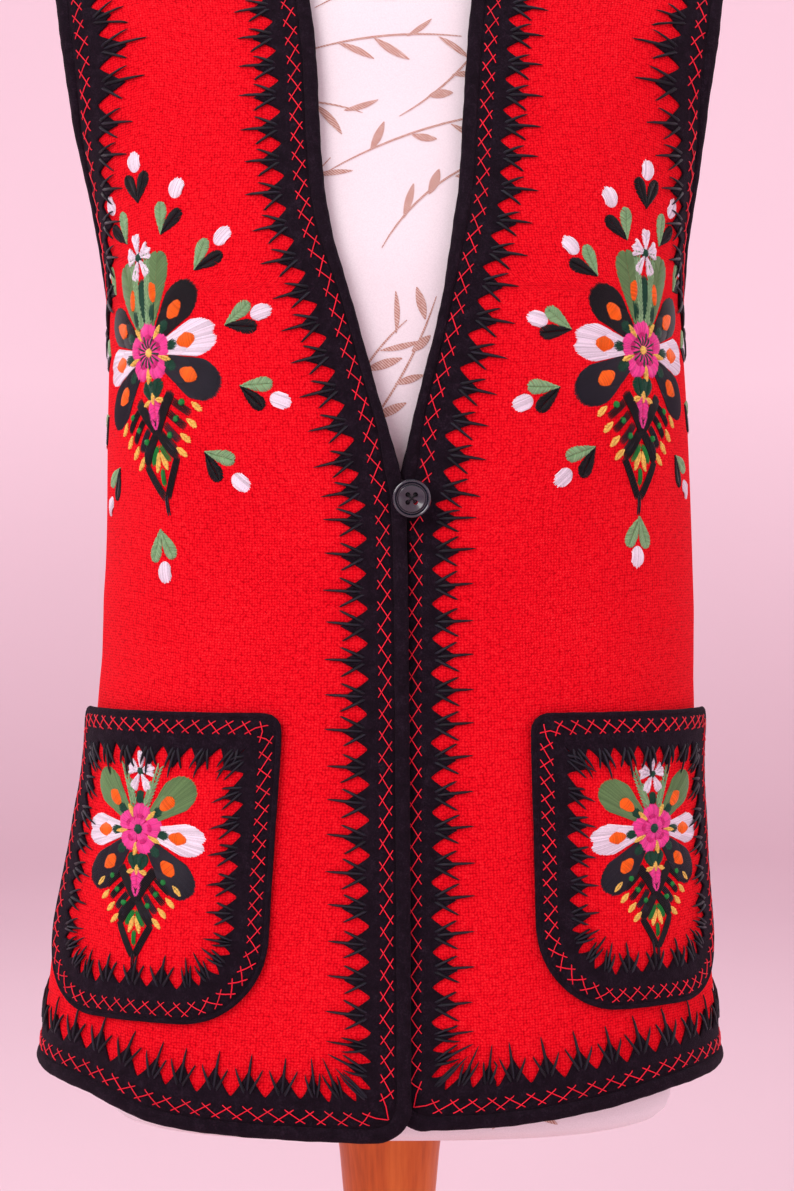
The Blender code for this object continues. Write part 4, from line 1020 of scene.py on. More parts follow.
def spikes(stitches, line, stops, root, centre_tip, side_tip, spread, base):
    """Three satin prongs of black floss at every tooth."""
    distances, counts = zip(*stops)
    tooth = np.arange(math.ceil(counts[0] - 0.5), math.floor(counts[-1] + 0.49)) + 0.5
    tooth = tooth[(tooth > counts[0]) & (tooth < counts[-1])]
    middle = np.interp(tooth, counts, distances) + uneven(len(tooth), 0.5)
    share = np.array([0.0, 0.12, 0.45, 0.8, 1.0])
    prongs = ((0.0, 0.0, root - 1.5, centre_tip), (1.6, spread, root - 3.0, side_tip),
              (-1.6, -spread, root - 3.0, side_tip))
    for from_side, to_side, low, high in prongs:
        tip = high + uneven(len(tooth), 1.0)
        swing = to_side + uneven(len(tooth), 0.8) + (1.5 if high == centre_tip else 0.0)
        for strand in (-1.0, 0.0, 1.0):
            across = from_side + strand * 0.55
            along = middle[:, None] + across + (swing - across + strand * 0.18)[:, None] * share
            inward = low + abs(strand) * 0.8 + (tip - low - abs(strand) * 1.6)[:, None] * share
            swell = np.array([0.40, 0.66, 0.72, 0.52, 0.14]) * (0.9 if strand else 1.0)
            out = base + np.array([-0.3, 0.75, 0.8, 0.45, -0.35]) + (0.25 if strand == 0 else 0.0)
            if not line.closed:
                along = np.clip(along, 0.4, line.length - 0.4)
            # The middle strand, lying highest, gets the black floss with a painted sheen; the side strands
            # are plain black.
            colour = "black" if strand else "black_with_painted_sheen"
            stitches.add(line.at(along, inward, out), np.broadcast_to(swell, along.shape), colour, 0.4)


# ---------------------------------------------------------------- embroidery, drawn flat
def aimed(degrees):
    turn = math.radians(degrees)
    return np.array([math.cos(turn), math.sin(turn)])


def along_and_aside(first, last):
    """The length from one point to another, and the unit steps along it and to its left."""
    length = np.linalg.norm(last - first)
    way = (last - first) / length
    return length, way, np.array([-way[1], way[0]])


class Drawing:
    """Satin stitches of a motif in flat millimetres: each from one point to another."""

    def __init__(self):
        self.runs = []

    def stitch(self, first, last, thread, colour, tall=0.45):
        self.runs.append((np.atleast_2d(first), np.atleast_2d(last), thread, colour, tall))

    def leaf(self, base, tip, width, colour, slant=0.5, gap=0.62, fat=0.8, thread=0.38, tall=0.5):
        base, tip = np.array(base, float), np.array(tip, float)
        length, way, aside = along_and_aside(base, tip)
        t = np.linspace(0.02, 0.97, max(int(length / gap), 4))
        half = width / 2 * np.sin(math.pi * t ** fat) ** 0.75
        spine = base + way * (t * length)[:, None]
        for sign in (1, -1):
            end = spine + aside * (sign * half)[:, None] + way * (half * slant)[:, None]
            self.stitch(spine - way * 0.4, end + chance.normal(0, 0.16, end.shape), thread, colour, tall)

    def petal(self, base, angle, near, far, spread, colour, dip=0.16, notch=0.0, thread=0.42, tall=0.5,
              tiers=2):
        """Long satin stitches that fan out from a base, with a round or notched end."""
        base = np.array(base, float)
        count = int(2 * math.radians(spread) * far / 0.66)
        v = np.linspace(-1, 1, count)
        way = np.radians(angle + spread * v)
        reach = far * (1 - dip * np.abs(v) ** 2.4) - notch * np.exp(-(v / 0.16) ** 2)
        reach = reach + uneven(count, 0.5)
        aim = np.stack([np.cos(way), np.sin(way)], -1)
        for tier in range(tiers):
            start = near + (reach - near) * tier / tiers * 0.9
            stop = near + (reach - near) * (tier + 1) / tiers
            self.stitch(base + aim * start[:, None], base + aim * stop[:, None], thread, colour,
                        tall + 0.08 * tier)

    def oval(self, centre, wide, high, angle, colour, thread=0.42, tall=1.0):
        """Satin across an oval."""
        centre = np.array(centre, float)
        count = max(int(2 * high / 0.62), 3)
        v = np.linspace(-0.94, 0.94, count)
        half = wide * np.sqrt(1 - v ** 2)
        turn = math.radians(angle)
        along = np.array([-math.sin(turn), math.cos(turn)])
        across = np.array([math.cos(turn), math.sin(turn)])
        middle = centre + along * (v * high)[:, None]
        self.stitch(middle - across * half[:, None], middle + across * half[:, None], thread, colour, tall)

    def bar(self, first, last, width, colour, thread=0.5, tall=0.8):
        """A few long strands side by side."""
        first, last = np.array(first, float), np.array(last, float)
        _, way, aside = along_and_aside(first, last)
        strands = np.linspace(-1, 1, max(int(width / 0.85), 2))
        offset = aside * (strands * (width / 2 - 0.4))[:, None]
        trim_ends = way * (np.abs(strands) * 0.9)[:, None]
        self.stitch(first + offset + trim_ends, last + offset - trim_ends, thread, colour, tall)

    def chain(self, first, last, width, colour):
        """A ladder of short looped stitches."""
        first, last = np.array(first, float), np.array(last, float)
        length, way, aside = along_and_aside(first, last)
        t = np.arange(0, length - 3, 2.6)
        for sign in (1, -1):
            low = first + way * t[:, None] + aside * sign * 0.4
            self.stitch(low, low + way * 4.2 + aside * sign * width / 2, 0.5, colour, 0.8)

    def knot(self, centre, radius, colour):
        centre = np.array(centre, float)
        turn = np.radians(np.arange(0, 180, 36))
        aim = np.stack([np.cos(turn), np.sin(turn)], -1)
        self.stitch(centre - aim * radius, centre + aim * radius, radius * 0.42, colour, radius * 0.75)

    def mirrored(self):
        for first, last, thread, colour, tall in list(self.runs):
            self.runs.append((first * (-1, 1), last * (-1, 1), thread, colour, tall))

    def sew(self, stitches, patch, scale=(1.0, 1.0), shift=(0.0, 0.0)):
        share = np.array([0.0, 0.2, 0.5, 0.8, 1.0])
        arch = np.array([-0.5, 0.62, 1.0, 0.62, -0.5])
        for first, last, thread, colour, tall in self.runs:
            first, last = first * scale + shift, last * scale + shift
            flat = first[:, None] + (last - first)[:, None] * share[None, :, None]
            rise = tall * 0.62 * arch + thread * 0.1
            rise = np.where(share * (1 - share) > 0, rise, -0.15)
            points = patch.at(flat, rise[None, :])
            radii = thread * np.array([0.75, 1.0, 1.0, 1.0, 0.75])
            stitches.add(points, radii, colour)


def folk_flower(pocket=False):
    """The motif, upright, with the flower in its middle; the left half is the right half's mirror."""
    daisy_up = 40.0 if pocket else 58.5
    half = Drawing()
    # The lowest petals are black floss given a painted blue sheen.
    petals = [(1, 14, 51, 17, "white"), (39, 14, 52, 17, "black"), (-35, 16, 57, 16.5, "black_with_painted_sheen")]
    if pocket:
        petals = [(-7, 15, 50, 17.5, "white"), (42, 15, 54, 17, "sage"), (-47, 15, 58, 16.5, "black_with_painted_sheen")]
    for angle, near, far, spread, colour in petals:
        notch = 2.5 if colour == "white" else 0.0
        half.petal((0, 0), angle, near, far, spread, colour, dip=0.26, notch=notch)
        aim = aimed(angle)
        for step in (-7, -2.5, 2, 6.5):
            tip = aimed(angle + step) * (27 - abs(step) * 0.5)
            half.bar(aim * 13, tip, 2.6, "dark_green", tall=1.0)
        middle = {"white": 30, "black": 32, "black_with_painted_sheen": 34, "sage": 29}[colour]
        half.oval(aim * middle, 5.0, 6.3, angle + 90, "orange", tall=1.7)
    if not pocket:
        half.leaf((6.5, 13), (16.5, 58), 19, "sage", slant=0.9, fat=1.25, thread=0.42)
        half.bar((6.5, 16), (8.2, 29), 4.0, "dark_green", tall=1.0)
        half.oval((9.6, 34.5), 3.7, 6.2, 6, "orange", tall=1.6)
    if pocket:
        half.chain((5.0, 15), (15.5, 45), 3.6, "light_green")
        half.chain((4.0, 17), (10.0, 34), 3.0, "light_green")
    else:
        half.chain((2.6, 15), (6.6, 60), 3.4, "light_green")
        half.chain((3.6, 15), (8.0, 56), 3.0, "light_green")
    # under the flower: the heart's half, the crossing bars, prongs, knots, petals and the kite
    half.leaf((1.2, -29), (5.0, -16.5), 9.5, "dark_green", fat=1.0, tall=0.9)
    half.leaf((2.2, -28.6), (8.0, -30.5), 3.2, "yellow", tall=1.6)
    half.bar((14.0, -26), (-1.5, -50), 6.4, "black", tall=1.3)
    half.bar((1.0, -48), (12.6, -65), 6.0, "black", tall=1.0)
    # The inner crossing bars are black floss given a painted sheen.
    for start, stop in (((13.0, -31), (26.0, -42.5)), ((9.6, -37.5), (21.5, -50)),
                        ((6.2, -44), (16.0, -56.5)), ((6.6, -52), (12.6, -61.5))):
        half.bar(start, stop, 4.2, "black" if start[0] > 9 else "black_with_painted_sheen", tall=1.0)
    for spot in ((20.4, -34.5), (15.4, -43.2), (9.6, -51.5)):
        half.knot(spot, 2.0, "green")
    for spot in ((27.6, -36.2), (23.0, -45.0), (17.6, -52.6), (13.6, -60.0)):
        half.leaf(spot, (spot[0] + 5.6, spot[1] - 6.2), 3.6, "yellow", tall=1.1)
    half.bar((12.8, -64.0), (0.4, -88), 4.6, "black", tall=1.0)
    half.bar((0.6, -55.5), (7.2, -66.5), 3.0, "green", tall=0.9)
    half.leaf((0.8, -60), (4.2, -71), 3.4, "yellow", tall=1.1)
    half.mirrored()

    whole = Drawing()
    whole.runs = half.runs
    whole.bar((0, -69), (0, -80), 3.0, "green", tall=0.9)
    # The kite's tail is black floss given a painted sheen.
    whole.bar((0, -84), (0, -98), 2.2, "black_with_painted_sheen", tall=1.0)
    whole.bar((0, 17), (0, daisy_up - 13), 5.4, "dark_green", tall=0.8)
    whole.leaf((0, -27.5), (0, -46.5), 11.5, "pink", slant=0.3, fat=0.7, tall=1.5)
    whole.leaf((0, -31), (0, -24.5), 3.2, "yellow", tall=1.9)
    # the five-lobed flower
    for lobe in (98, 26, -46, -118, 170):
        whole.petal((0, 0), lobe, 2.0, 18.2, 31, "pink", dip=0.22, thread=0.46, tall=1.5)
        whole.petal((0, 0), lobe, 6.0, 12.0, 14, "deep_pink", dip=0.1, thread=0.34, tall=1.9, tiers=1)
    if not pocket:
        for step in range(15):
            aim = aimed(24 * step + 6)
            whole.stitch(aim * 2.0, aim * (9.5 + 2.5 * (step % 2)), 0.55, "dark_green", 2.4)
    for gap in (62, 134, 206, 278, 350):
        aim = aimed(gap)
        whole.leaf(aim * 9.6, aim * 18.6, 3.0, "yellow", tall=2.5)
    whole.knot((0, 0), 2.6 if not pocket else 3.2, "dark_green" if pocket else "yellow")
    # the daisy on top
    for turn in (90, 30, 150, -62, -118, 2, 178):
        aim = aimed(turn)
        reach = 13.5 if turn in (90, -62, -118) else 9.5
        whole.leaf(np.array([0, daisy_up]) + aim * 1.5, np.array([0, daisy_up]) + aim * reach, 6.6, "white",
                   slant=1.2, fat=1.3, tall=1.5)
    whole.knot((0, daisy_up), 2.5, "dark_green")
    return whole


def sprig(point, bud, first_leaf, second_leaf):
    """Two leaves that meet at a point, and a white bud beyond them."""
    drawing = Drawing()
    point, bud = np.array(point, float), np.array(bud, float)
    _, way, aside = along_and_aside(point, bud)
    for sign, colour in ((1, first_leaf), (-1, second_leaf)):
        tip = point + way * 18.0 + aside * sign * 7.6
        drawing.leaf(point, tip, 8.6, colour, slant=0.6, fat=1.3, tall=1.0)
    v = np.linspace(-1, 1, 15)
    middle = bud + aside * (v * 4.2)[:, None]
    half = 6.2 * np.sqrt(1.05 - v ** 2 * 0.8)
    end = middle + way * (half + uneven(15, 0.7))[:, None]
    drawing.stitch(middle - way * half[:, None], end, 0.42, "white", 1.2)
    return drawing


# ---------------------------------------------------------------- the garment
front_lines = {side: front_edge_line(side) for side in (RIGHT, LEFT)}
hole_lines = {side: armhole_line(side) for side in (RIGHT, LEFT)}
hem_line, neck_line = back_hem_line(), back_neck_line()
pocket_lines = {side: pocket_edge_line(side) for side in (RIGHT, LEFT)}
WORDS = {RIGHT: "right", LEFT: "left"}

panels = {side: front_panel(word, side, front_lines[side], hole_lines[side])
          for side, word in WORDS.items()}
panels[MIDDLE] = back_panel(neck_line, hole_lines)

FELT_TOP = FELT_LIFT + FELT_THICK
PRONG_BASE = FELT_TOP - 0.5
body_trim = (BORDER_VALLEY - 1, BORDER_TIP)


def even_teeth(line, end=TRIM_END):
    return (end, 0.0), (line.length - end, round(line.length / TOOTH))


for side, word in WORDS.items():
    line, hole, pocket = front_lines[side], hole_lines[side], pocket_lines[side]
    below = round(line.corner / TOOTH - 0.5) + 0.5
    above = below + round((line.length - line.corner) / TOOTH - 0.5) + 0.5
    stops = ((TRIM_END, 0.0), (line.corner, below), (line.length - TRIM_END, above))
    trim("felt_front_" + word, line, stops, *body_trim, 1.2, BORDER_START,
         ["front_border_" + word, "hem_border_" + word], ["front_" + word])
    rolled("roll_front_" + word, line, BODY_ROLL, ["front_roll_" + word])
    threads = Stitches()
    herringbone(threads, line, 2.0, line.corner - 2, *BODY_CROSS, FELT_TOP)
    herringbone(threads, line, line.corner + 3, line.length - 2, *BODY_CROSS, FELT_TOP)
    herringbone(threads, hole, 0.0, hole.length, *HOLE_CROSS, FELT_TOP)
    herringbone(threads, pocket, 0.0, pocket.length, *POCKET_CROSS, FELT_TOP)
    threads.build("herringbone_" + word)
    threads = Stitches()
    spikes(threads, line, stops, *FRONT_PRONGS, PRONG_BASE)
    hole_stops = even_teeth(hole, 0.0)
    spikes(threads, hole, hole_stops, *HOLE_PRONGS, PRONG_BASE)
    top_count = round(2 * pocket.corner / POCKET_TOOTH)
    around = round((pocket.length - 2 * pocket.corner) / POCKET_TOOTH)
    pocket_stops = ((pocket.corner, 0.0), (pocket.length - pocket.corner, around),
                    (pocket.length + pocket.corner, around + top_count))
    spikes(threads, pocket, pocket_stops, *POCKET_PRONGS, PRONG_BASE)
    threads.build("spikes_" + word)
    trim("felt_armhole_" + word, hole, hole_stops, *body_trim, 1.2, BORDER_START,
         ["armhole_border_" + word], ["front_" + word, "back"])
    rolled("roll_armhole_" + word, hole, BODY_ROLL, ["armhole_roll_" + word])
    trim("felt_pocket_" + word, pocket, pocket_stops, POCKET_VALLEY - 1, POCKET_TIP, 1.15, POCKET_START,
         ["pocket_border_" + word], ["pocket_" + word])
    rolled("roll_pocket_" + word, pocket, POCKET_ROLL, ["pocket_roll_" + word])
    pocket_panel(word, side)

hem_stops, neck_stops = even_teeth(hem_line), even_teeth(neck_line)
trim("felt_hem_back", hem_line, hem_stops, *body_trim, 1.15, BORDER_START, ["hem_border_back"], ["back"])
rolled("roll_hem_back", hem_line, BODY_ROLL, ["hem_roll_back"])
trim("felt_neck_back", neck_line, neck_stops, *body_trim, 1.2, BORDER_START, ["neck_border_back"], ["back"])
rolled("roll_neck_back", neck_line, BODY_ROLL, ["neck_roll_back"])
threads = Stitches()
herringbone(threads, hem_line, 2.0, hem_line.length - 2, *BODY_CROSS, FELT_TOP)
herringbone(threads, neck_line, 2.0, neck_line.length - 2, *NECK_CROSS, FELT_TOP)
spikes(threads, hem_line, hem_stops, *HEM_PRONGS, PRONG_BASE)
spikes(threads, neck_line, neck_stops, *HOLE_PRONGS, PRONG_BASE)
threads.build("back_stitching")

CHEST = {RIGHT: (-140.8, 461.7), LEFT: (149.0, 463.5)}
POCKET_MIDDLE = {RIGHT: (-143.0, 184.5), LEFT: (152.0, 184.5)}
# sprigs round the chest motif: point and bud, from the flower's middle, outer side positive
SPRIGS = [((0.5, 91), (1.0, 116), "black", "black"),
          ((-1.0, -104), (-1.5, -129), "light_green", "light_green")]
for point, bud in (((-15, 69), (-28, 95)), ((-39, 43), (-57, 61)), ((-56, 8), (-78, 13)),
                   ((-62, -28), (-85, -39)), ((-37, -63), (-57, -83))):
    SPRIGS.append((point, bud, "black", "light_green"))
    SPRIGS.append(((-point[0], point[1]), (-bud[0], bud[1]), "light_green", "black"))
CHEST_LEAN, SPRIG_LEAN = {RIGHT: 10.5, LEFT: 3.0}, {RIGHT: 5.5, LEFT: 2.0}
SPRIG_SCALE, POCKET_TALL = {RIGHT: 1.0, LEFT: 0.94}, {RIGHT: 0.84, LEFT: 0.79}
for side, word in WORDS.items():
    patch = Patch(side, *CHEST[side], CHEST_LEAN[side], 0.0)
    threads = Stitches()
    folk_flower().sew(threads, patch)
    threads.build("chest_motif_" + word)
    threads = Stitches()
    patch = Patch(side, *CHEST[side], SPRIG_LEAN[side], 0.0)
    for point, bud, first_leaf, second_leaf in SPRIGS:
        point, bud = np.array(point) * SPRIG_SCALE[side], np.array(bud) * SPRIG_SCALE[side]
        sprig(point, bud, first_leaf, second_leaf).sew(threads, patch)
    threads.build("chest_sprigs_" + word)
    patch = Patch(side, *POCKET_MIDDLE[side], -3.0, POCKET_LIFT + WOOL_THICK, gape=True)
    threads = Stitches()
    folk_flower(pocket=True).sew(threads, patch, scale=(0.88, POCKET_TALL[side]))
    threads.build("pocket_motif_" + word)


# ---------------------------------------------------------------- button and loop
def turned_piece(name, profile, steps, material, replaced):
    profile = np.array(profile, float)
    turn = np.linspace(0, 2 * math.pi, steps, endpoint=False)
    points = [np.stack([r * np.cos(turn), r * np.sin(turn), z + 0 * turn], -1) for r, z in profile]
    rings = np.array(points) * 0.001
    return loft(name, rings, material, replaced=replaced, sharp=35)


spot = np.array(BUTTON_X), np.array(BUTTON_HEIGHT)
normal = Vector(outward(np.array(FRONT), *spot))
foot = Vector(plain(np.array(FRONT), *spot)) + Vector((0, -SEAM_GAP, RIM_HEIGHT))
over_top = OVERLAP_LIFT + 0.3 + 2.6
button_turn = normal.to_track_quat("Z", "Y")
button_profile = [
    (0.3, 0.4), (9.5, 0.4), (10.6, 0.9), (11.0, 1.6), (11.0, 2.8), (10.7, 3.5), (10.1, 3.8), (9.5, 3.6),
    (9.0, 2.8), (8.6, 1.9), (8.1, 1.9), (7.7, 2.9), (7.2, 3.2), (6.2, 2.9), (4.0, 2.3), (2.0, 2.1),
    (0.3, 2.1)]
button = turned_piece("button_dish", button_profile, 64, button_dark, ["button"])
for vertex in button.data.vertices:
    vertex.co = button_turn @ vertex.co + (foot + normal * (over_top + 0.6)) * 0.001
for corner in range(4):
    way = math.radians(45 + 90 * corner)
    bpy.ops.mesh.primitive_cylinder_add(vertices=20, radius=0.00135, depth=0.02)
    drill = bpy.context.object
    drill.data.transform(button_turn.to_matrix().to_4x4())
    offset = button_turn @ Vector((math.cos(way), math.sin(way), 0)) * 0.0031
    drill.data.transform(Matrix.Translation(foot * 0.001 + normal * 0.008 + offset))
    cut = button.modifiers.new("hole", "BOOLEAN")
    cut.object = drill
    cut.solver = "EXACT"
    holed = modified_mesh(button)
    button.modifiers.clear()
    button.data = holed
    bpy.data.objects.remove(drill)
button.data.set_sharp_from_angle(angle=math.radians(35))

threads = Stitches()
loop_reach = 2.4
turns = np.radians(np.linspace(72, -252, 26))
route = [(-0.5, 392.5, 3.2), (4.0, 389.0, 4.4), (9.6, 384.0, 5.4)]
route += [(BUTTON_X + loop_reach * math.cos(t), BUTTON_HEIGHT + loop_reach * math.sin(t), 6.6) for t in turns]
route += [(8.6, 381.5, 5.4), (3.2, 385.6, 4.4), (-1.5, 388.5, 3.2)]
route = np.array(route)
route = np.stack([blurred(column, 1.2) for column in route.T], -1)
base_points = plain(FRONT, route[:, 0], route[:, 1])
base_points[:, 2] += RIM_HEIGHT
loop_points = (base_points + outward(FRONT, route[:, 0], route[:, 1]) * (route[:, 2] + 0.6)[:, None]) * 0.001
threads.add(loop_points[None], 0.6, "black", 0)
hole_reach = 3.1
for first, last in ((45, 225), (135, 315)):
    ends = []
    for way in (first, last):
        offset = Vector((math.cos(math.radians(way)), math.sin(math.radians(way)), 0)) * hole_reach
        for lift in ((-0.5, 3.4) if way == first else (3.4, -0.5)):
            ends.append((foot + normal * (over_top + 0.6 + lift) + button_turn @ offset) * 0.001)
    threads.add(np.array(ends)[None], 0.55, "black", 0)
shank_bottom = foot + normal * 0.6
shank_top = foot + normal * (over_top - 2.6)
threads.add(np.array([shank_bottom * 0.001, shank_top * 0.001])[None], 1.6, "black", 0)
loop = threads.build("button_thread", sides=8)
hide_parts("button_loop", "button_shank")


# ---------------------------------------------------------------- dress form
def form_section(height, count=120):
    turn = np.linspace(0, 2 * math.pi, count, endpoint=False)
    sine, cosine = np.sin(turn), np.cos(turn)
    half = read(FORM, 1, height)
    x = np.sign(sine) * half * np.abs(sine) ** (2 / POWER)
    shrink = roundness(x, height + 3.6 + 0 * x)[0] if height > 440 else 1.0
    deep = np.where(cosine > 0, read(FORM, 2, height), read(FORM, 3, height))
    depth = deep * shrink * np.abs(cosine) ** (2 / POWER)
    if height > 690:
        inside = np.abs(x) < NECK_HALF
        neck = np.where(cosine > 0, NECK_FRONT, NECK_BACK) * np.sqrt(np.clip(1 - (x / NECK_HALF) ** 2, 0, 1))
        depth = np.where(inside, np.maximum(depth, neck), depth)
    return np.stack([x, -np.sign(cosine) * depth, height + 0 * x], -1)


def neck_section(height, shrink, count=120):
    turn = np.linspace(0, 2 * math.pi, count, endpoint=False)
    depth = np.where(np.cos(turn) > 0, NECK_FRONT, NECK_BACK) - shrink
    return np.stack([(NECK_HALF - shrink) * np.sin(turn), -depth * np.cos(turn), height + 0 * turn], -1)


levels = np.concatenate([[0, 1.5, 4, 8, 14, 22], np.arange(32, 700, 9.0), np.arange(700, 751, 3.5)])
sections = [form_section(level) for level in levels]
for level, shrink in ((753, -6), (757, -2.5), (764, 0), (777, 1.5), (790, 2), (812, 2), (828, 2), (831.5, 3),
                      (833.4, 5), (NECK_TOP, 8), (NECK_TOP, 30)):
    sections.append(neck_section(level, shrink))
body_points = np.array(sections)
upper = slice(len(levels) - 14, len(levels) + 4)
for _ in range(3):
    middle = body_points[upper]
    softened = middle[:-2] * 0.25 + middle[1:-1] * 0.5 + middle[2:] * 0.25
    body_points[upper.start + 1:upper.stop - 1] = softened
body_points[..., 2] += RIM_HEIGHT
body_points *= 0.001
loft("covered_form", body_points, form_cover, replaced=["dress_form"], sharp=50)


def form_point(face, x, height, out):
    half = read(FORM, 1, height)
    share = np.clip(np.abs(x) / half, 0, 0.999)
    shrink = np.where(height > 440, roundness(x, height + 3.6)[0], 1.0)
    deep = np.where(face < 0, read(FORM, 2, height), read(FORM, 3, height))
    depth = deep * shrink * (1 - share ** POWER) ** (1 / POWER)
    out_x = share ** (POWER - 1) * depth / half
    normal = np.stack([np.sign(x) * out_x, face * (1 - share ** POWER) ** (1 - 1 / POWER) + 0 * x, 0 * x], -1)
    normal /= np.linalg.norm(normal, axis=-1, keepdims=True)
    point = np.stack([x + 0 * depth, face * depth, height + RIM_HEIGHT + 0 * depth], -1)
    return (point + normal * out) * 0.001


def brush_strokes():
    """Printed grass: thin arching stems with leaves, as (face, root, lean, length, width, bend)."""
    strokes = []
    spots = np.random.default_rng(5)
    stems = [
        (FRONT, (-44, 668), 62, 110, 38), (FRONT, (-52, 640), 74, 96, 22), (FRONT, (6, 600), 58, 88, -34),
        (FRONT, (-36, 566), 60, 118, 24), (FRONT, (-4, 520), 30, 92, 44), (FRONT, (-28, 420), 20, 70, 30),
        (FRONT, (-120, 12), 66, 120, 30), (FRONT, (-20, 16), 70, 110, 26), (FRONT, (60, 10), 58, 96, 40)]
    for face in (FRONT, BACK):
        for height in np.arange(20, 680, 94.0):
            for x in (-104, -30, 46, 110):
                if face == FRONT and (height < 60 or (height > 400 and abs(x) < 60)):
                    continue
                stems.append((face, (x + spots.uniform(-16, 16), height + spots.uniform(-20, 20)),
                              spots.uniform(20, 74), spots.uniform(74, 112), spots.uniform(-40, 44)))
    for face, root, lean, length, bend in stems:
        strokes.append((face, root, lean, length, 1.3, bend))
        for share in (0.24, 0.46, 0.66, 0.85):
            turn = math.radians(lean + bend * share / 2)
            spot = (root[0] + math.sin(turn) * length * share, root[1] + math.cos(turn) * length * share)
            side = 1 if spots.random() < 0.5 else -1
            strokes.append((face, spot, lean + bend * share + side * spots.uniform(24, 44),
                            spots.uniform(14, 25), spots.uniform(3.2, 5.6), spots.uniform(-20, 20)))
    return strokes


PRINT_LIFT = 0.25
points, faces, count = [], [], 12
for face, root, lean, length, width, bend in brush_strokes():
    t = np.linspace(0, 1, count)
    angle = np.radians(lean + bend * t)
    step = length / (count - 1)
    x = root[0] + np.concatenate([[0], np.cumsum(np.sin(angle[:-1]) * step)])
    height = root[1] + np.concatenate([[0], np.cumsum(np.cos(angle[:-1]) * step)])
    half = width / 2 * np.sin(math.pi * np.clip(t * 0.94 + 0.03, 0, 1)) ** (0.4 if width < 2 else 0.9)
    across = np.stack([np.cos(angle), -np.sin(angle)], -1)
    if height.min() < 3 or height.max() > 700 or np.abs(x).max() > 0.9 * read(FORM, 1, height).min():
        continue
    index = sum(len(group) for group in points)
    for sign in (-1, 0, 1):
        aside = sign * across[:, 0] * half
        points.append(form_point(face, x + aside, height + sign * across[:, 1] * half, PRINT_LIFT))
    for lane in range(2):
        for row in range(count - 1):
            a = index + lane * count + row
            quad = [a, a + 1, a + 1 + count, a + count]
            faces.append(quad if face == BACK else quad[::-1])
new_piece("printed_grass", np.concatenate(points), faces, printed_grass)

# ---------------------------------------------------------------- stand
stem_top = RIM_HEIGHT - 0.3
stem_profile = [(0.5, stem_top), (32.5, stem_top)]
stem_profile += [(radius, stem_top - down) for radius, down in (
    (33.5, 1.2), (32.8, 12), (31, 27), (29.4, 45), (27.3, 66), (25.2, 84), (22.2, 110), (18.1, 140),
    (17.1, 170))]
stem_profile += [(radius, BASE_TOP + up) for radius, up in (
    (17.0, 60), (17.2, 34), (18.4, 24), (21.4, 17), (25.4, 12), (29.0, 7.5), (30, 4), (29.6, 0.3),
    (0.5, 0.3))]
turned_piece("stem", stem_profile, 64, turned_wood, ["stand_stem"])
base_profile = [(0.5, BASE_TOP), (134, BASE_TOP)]
base_profile += [(radius, BASE_TOP - down) for radius, down in (
    (141, 1.2), (146.5, 5), (149.4, 10), (150, 15))]
base_profile += [(149.8, 5), (148.8, 1.6), (147, 0), (0.5, 0)]
turned_piece("base", base_profile, 128, turned_wood, ["stand_base"])

# ---------------------------------------------------------------- each felt border's reach times its length, worked out and left unused
for border, reach, length, under in borders:
    reach * length

# ---------------------------------------------------------------- floor, light and camera
floor_paint = Paint("studio_floor", Roughness=0.9, Emission_Strength=0.32)
where = floor_paint.node("TexCoord", "Object")
tint = floor_paint.node("TexNoise", "Fac", Vector=where, Scale=0.6)
floor_height = floor_paint.node("SeparateXYZ", "Z", Vector=where)
floor_colour = floor_paint.ramp(tint, [(0.3, (0.80, 0.62, 0.69)), (0.7, (0.83, 0.65, 0.72))])
glow = floor_paint.ramp(floor_height * 0.5, [(0.0, (0, 0, 0)), (0.6, (0.96, 0.76, 0.84))])
floor_paint.finish(Base_Color=floor_colour, Emission_Color=glow)
profile = [(0.0, 0.0), (1.5, 0.0), (3.2, 0.0)]
profile += [(4.0 + 1.4 * math.sin(t), 1.4 - 1.4 * math.cos(t)) for t in np.linspace(0.1, math.pi / 2, 14)]
profile += [(5.4, 3.0), (5.4, 6.5)]
floor_steps = 96
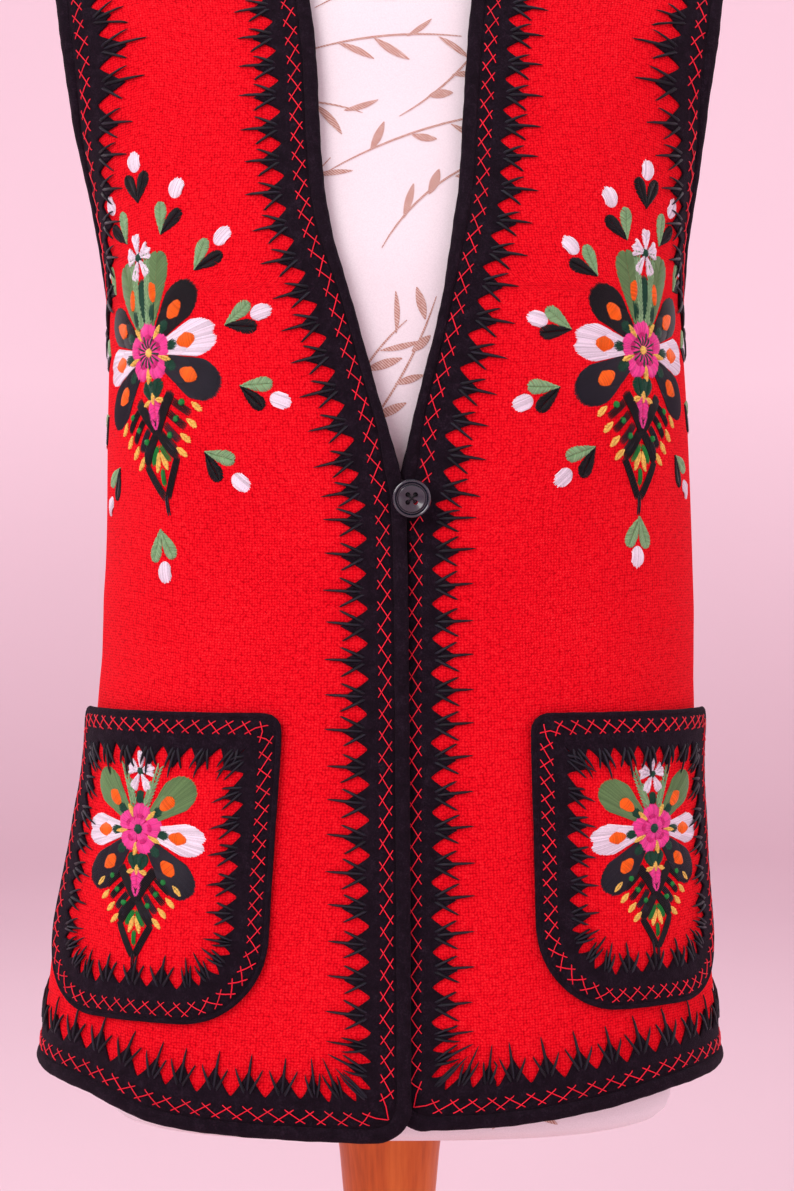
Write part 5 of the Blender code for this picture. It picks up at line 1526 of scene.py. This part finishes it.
turn = np.linspace(0, 2 * math.pi, floor_steps, endpoint=False)
points = np.array([[(r * math.cos(t), r * math.sin(t), z) for t in turn] for r, z in profile])
floor_faces = []
for ring in range(0, (len(profile) - 1) * floor_steps, floor_steps):
    for here in range(floor_steps):
        ahead = (here + 1) % floor_steps
        floor_faces.append([ring + floor_steps + here, ring + floor_steps + ahead, ring + ahead, ring + here])
floor_mesh = bpy.data.meshes.new("floor")
floor_mesh.from_pydata(points.reshape(-1, 3).tolist(), [], floor_faces)
floor_mesh.shade_smooth()
floor_mesh.materials.append(floor_paint.material)
floor = put("floor", floor_mesh)


def softbox(name, place_at, aim, size, power, colour=(1, 1, 1)):
    data = bpy.data.lights.new(name, "AREA")
    data.shape = "RECTANGLE"
    data.size, data.size_y = size
    data.energy = power
    data.color = colour
    light = put(name, data)
    light.location = place_at
    light.rotation_mode = "QUATERNION"
    light.rotation_quaternion = (Vector(place_at) - Vector(aim)).to_track_quat("Z", "Y")


softbox("key", (-1.6, -2.4, 2.1), (0, 0, 0.7), (1.6, 1.6), 39)
softbox("fill", (2.2, -2.2, 1.2), (0, 0, 0.6), (1.8, 1.8), 6)
softbox("top", (0, 0.2, 2.9), (0, 0, 0.6), (2.0, 2.0), 18)
softbox("back_left", (-2.2, 1.4, 1.6), (0, 0, 0.7), (1.2, 1.6), 12)
softbox("back_right", (2.2, 1.3, 1.6), (0, 0, 0.7), (1.2, 1.6), 9)
world = bpy.data.worlds.new("studio")
bpy.context.scene.world = world
world.use_nodes = True
world.node_tree.nodes["Background"].inputs["Color"].default_value = (1.0, 0.97, 0.97, 1)
world.node_tree.nodes["Background"].inputs["Strength"].default_value = 0.50

lens = bpy.data.cameras.new("camera")
lens.lens = 73.97
lens.sensor_width = 36.0
camera = put("camera", lens)
camera.location = (0.0047, -1.528, RIM_HEIGHT * 0.001 + 0.320)
camera.rotation_euler = (math.radians(90), 0, 0)
bpy.context.scene.camera = camera
bpy.context.scene.view_settings.view_transform = "Standard"
